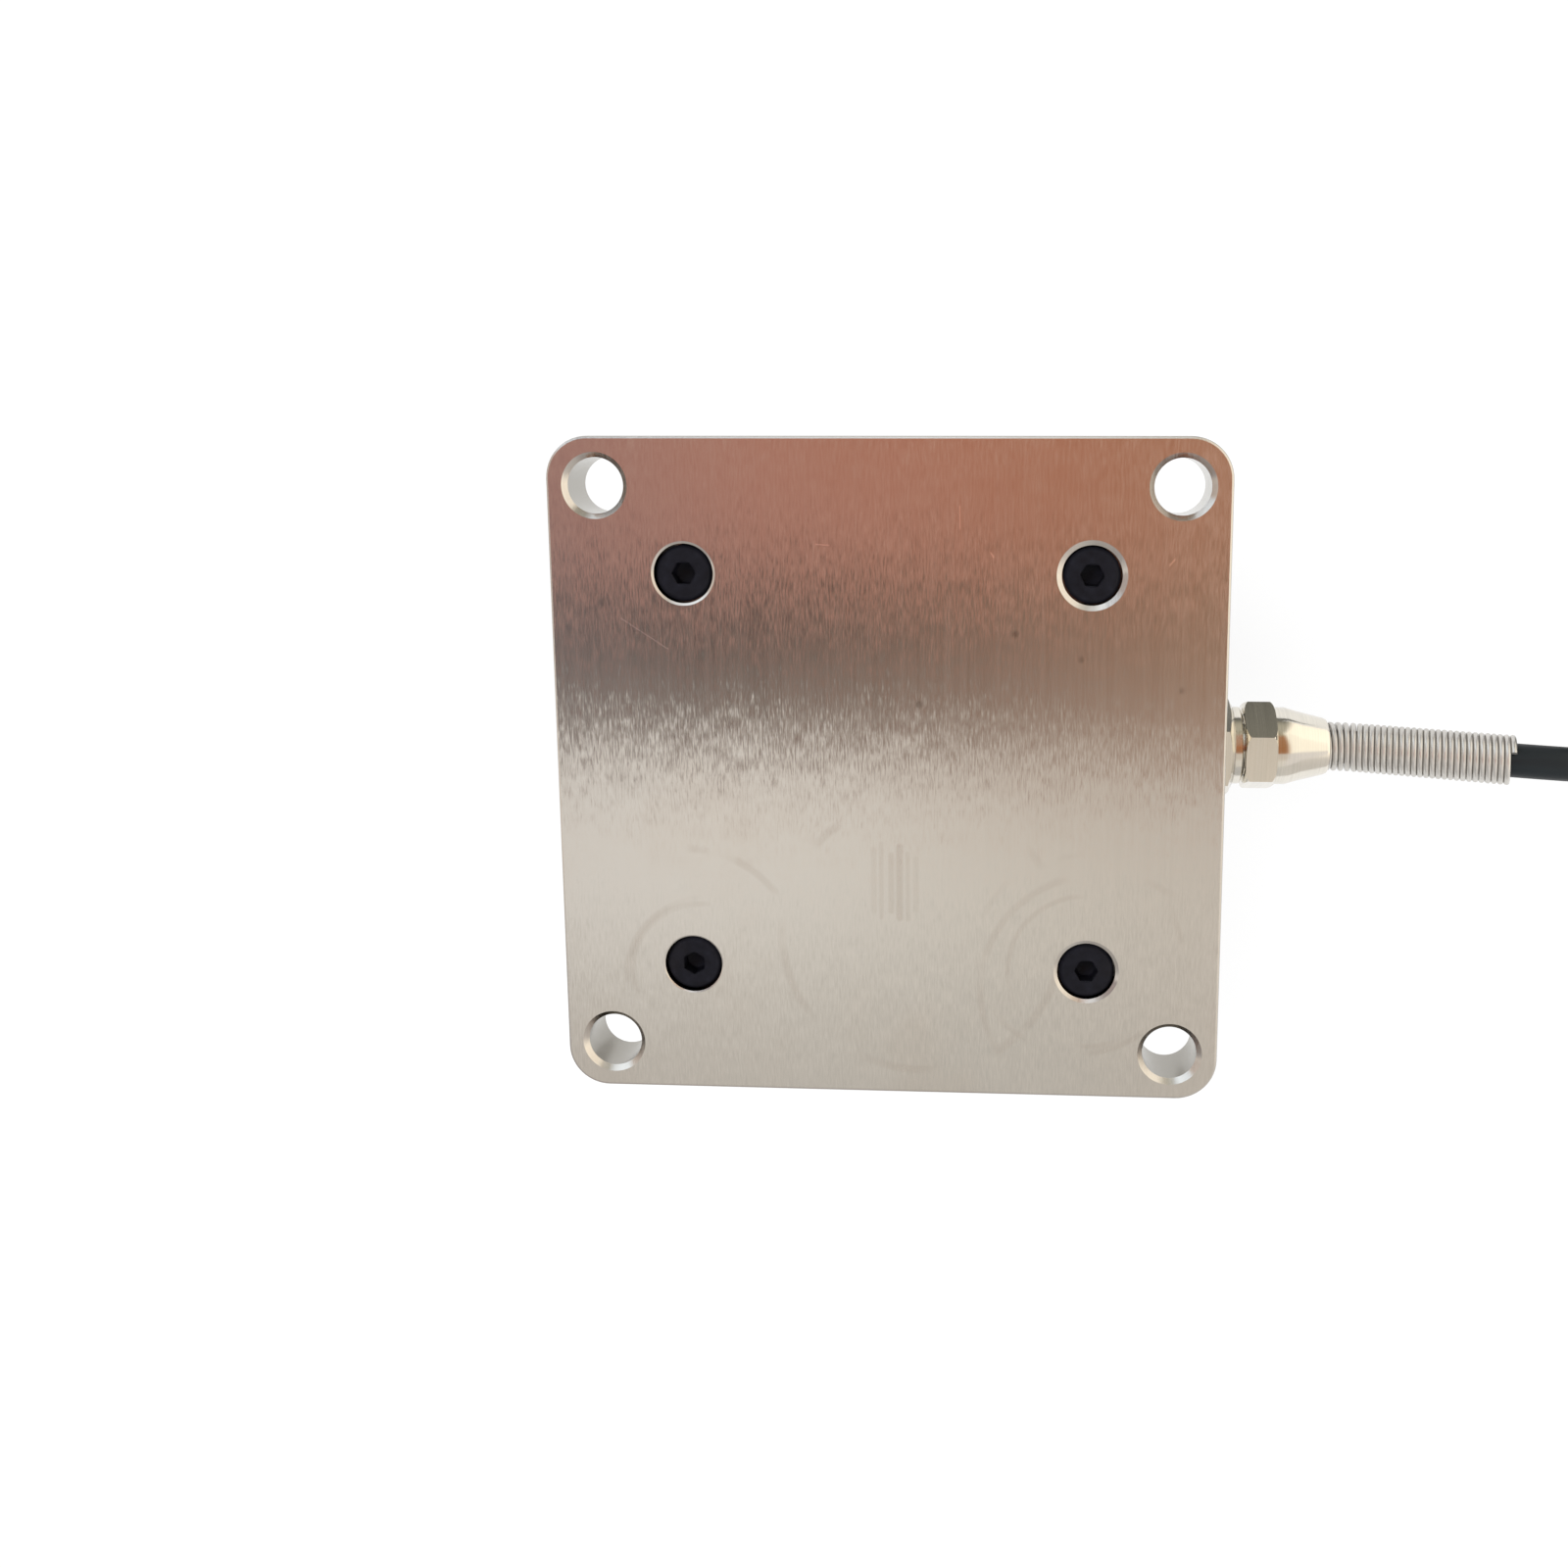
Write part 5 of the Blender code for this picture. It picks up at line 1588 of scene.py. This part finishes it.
    def ceiling_colour(self, wires: Wiring) -> NodeSocket:
        """Paints the warm card over the camera, whose bands the brushed plate reflects.

        Args:
            wires: The card's wiring.

        Returns:
            The colour.
        """
        here = wires.node("TexCoord").outputs["Object"]
        parts = wires.node("SeparateXYZ", {0: here}).outputs
        x, y = parts["X"], parts["Y"]
        wander = wires.times(wires.sum("SUBTRACT", wires.noise(here, 7.0), 0.5), 0.05)
        along = wires.sum("ADD", y, wander)
        near = [(0.20, (0.85, 0.74, 0.66)), (0.34, (1.00, 0.95, 0.88)), (0.44, (1.25, 1.32, 1.42))]
        over_left = self.bands(wires, along, [
            (-0.58, (0.40, 0.41, 0.43)), (-0.44, (0.66, 0.65, 0.63)), (-0.31, (0.80, 0.77, 0.72)),
            (-0.22, (1.14, 1.13, 1.11)), (-0.130, (1.14, 1.12, 1.09)), (-0.120, (0.05, 0.04, 0.03)),
            (-0.068, (0.05, 0.03, 0.025)), (-0.045, (0.22, 0.12, 0.10)),
            (-0.015, (0.62, 0.28, 0.22)), (0.06, (0.70, 0.31, 0.23)), *near,
        ])
        over_right = self.bands(wires, along, [
            (-0.58, (0.40, 0.41, 0.43)), (-0.44, (0.62, 0.61, 0.59)), (-0.30, (0.66, 0.66, 0.63)),
            (-0.20, (0.82, 0.78, 0.71)), (-0.15, (0.74, 0.64, 0.54)), (-0.112, (0.36, 0.25, 0.20)),
            (-0.060, (0.32, 0.18, 0.13)), (-0.02, (0.58, 0.22, 0.135)), (0.06, (0.60, 0.20, 0.10)),
            *near,
        ])
        beside = self.bands(wires, y, [
            (-0.46, (0.86, 0.82, 0.76)), (-0.34, (0.74, 0.66, 0.58)), (-0.16, (0.72, 0.66, 0.60)),
            (-0.12, (0.42, 0.19, 0.08)), (0.50, (0.42, 0.19, 0.08)), (0.60, (0.42, 0.36, 0.24)),
            (0.95, (0.36, 0.33, 0.25)),
        ])
        far = self.bands(wires, y, [(-0.16, (0.88, 0.84, 0.82)), (-0.10, (1.30, 1.22, 1.06))])
        outside = wires.times(
            wires.span(x, -0.30, -0.20, 1.0, 0.0), wires.span(y, -0.13, -0.10, 0.3, 1.0)
        )
        colour = wires.blend(wires.span(x, -0.13, 0.02, 0.0, 1.0), over_left, over_right)
        colour = wires.blend(outside, colour, (0.26, 0.23, 0.26))
        colour = wires.blend(wires.span(x, 0.10, 0.125, 0.0, 1.0), colour, beside)
        return wires.blend(wires.span(x, 0.30, 0.40, 0.0, 1.0), colour, far)

    def horizon_wall(self) -> Object:
        """The wall all round the object."""
        bm = bmesh.new()
        radius, depth = self.wall_radius, self.wall_height
        bmesh.ops.create_cone(
            bm, cap_ends=False, segments=64, radius1=radius, radius2=radius, depth=depth
        )
        return Bench.keep("horizon_wall", bm, Matrix.Translation((0.0, 0.0, self.wall_middle)))

    def horizon_colour(self, wires: Wiring) -> NodeSocket:
        """Paints the wall, whose colours the chamfers and the gland's flats reflect.

        Args:
            wires: The wall's wiring.

        Returns:
            The colour.
        """
        parts = wires.node("SeparateXYZ", {0: wires.node("TexCoord").outputs["Object"]}).outputs
        turn = wires.sum("ARCTAN2", parts["X"], wires.times(parts["Y"], -1.0))
        dark, slate = self.shade_colour, (0.42, 0.43, 0.45)
        stops = [
            (-180, dark), (-175, dark), (-166, (1.30, 1.42, 1.55)), (-122, (1.40, 1.55, 1.70)),
            (-112, (0.95, 0.85, 0.78)), (-75, (0.95, 0.88, 0.82)), (-60, slate), (-22, slate),
            (6, slate), (18, (0.74, 0.72, 0.69)), (38, (0.70, 0.67, 0.64)),
            (55, (0.78, 0.74, 0.70)), (78, (1.60, 1.48, 1.28)), (148, (1.45, 1.34, 1.16)),
            (156, dark), (180, dark),
        ]
        colour = self.bands(wires, turn, [(math.radians(a), tint) for a, tint in stops])
        height = wires.span(parts["Z"], -0.10, 0.25, 0.0, 1.0)
        return wires.blend(height, colour, (0.50, 0.47, 0.38), "LIGHTEN")

    def add_lamp(self, name: str, place: Colour, size: float, watts: float) -> None:
        """A soft lamp that points at the object."""
        data = bpy.data.lights.new(name, "AREA")
        data.shape = "DISK"
        data.size = size
        data.energy = watts
        lamp = Bench.link(name, data)
        lamp.location = place
        aim = Vector(self.lamp_aim) - Vector(place)
        lamp.rotation_euler = aim.to_track_quat("-Z", "Y").to_euler()
        lamp.visible_glossy = False


def main() -> None:
    """Builds the studio and every piece in order."""
    logging.basicConfig(level=logging.INFO, format="%(name)s: %(message)s")
    Studio().build()
    palette = Palette()
    on_cable = CableGland().dress(palette) + StrainRelief().dress(palette)
    Cable().dress(palette, on_cable)
    MountingPlate().dress(palette)
    SpokeBody().dress(palette)
    LoadPlate().dress(palette)
    finish_plain_solids(palette)


if __name__ == "__main__":
    main()
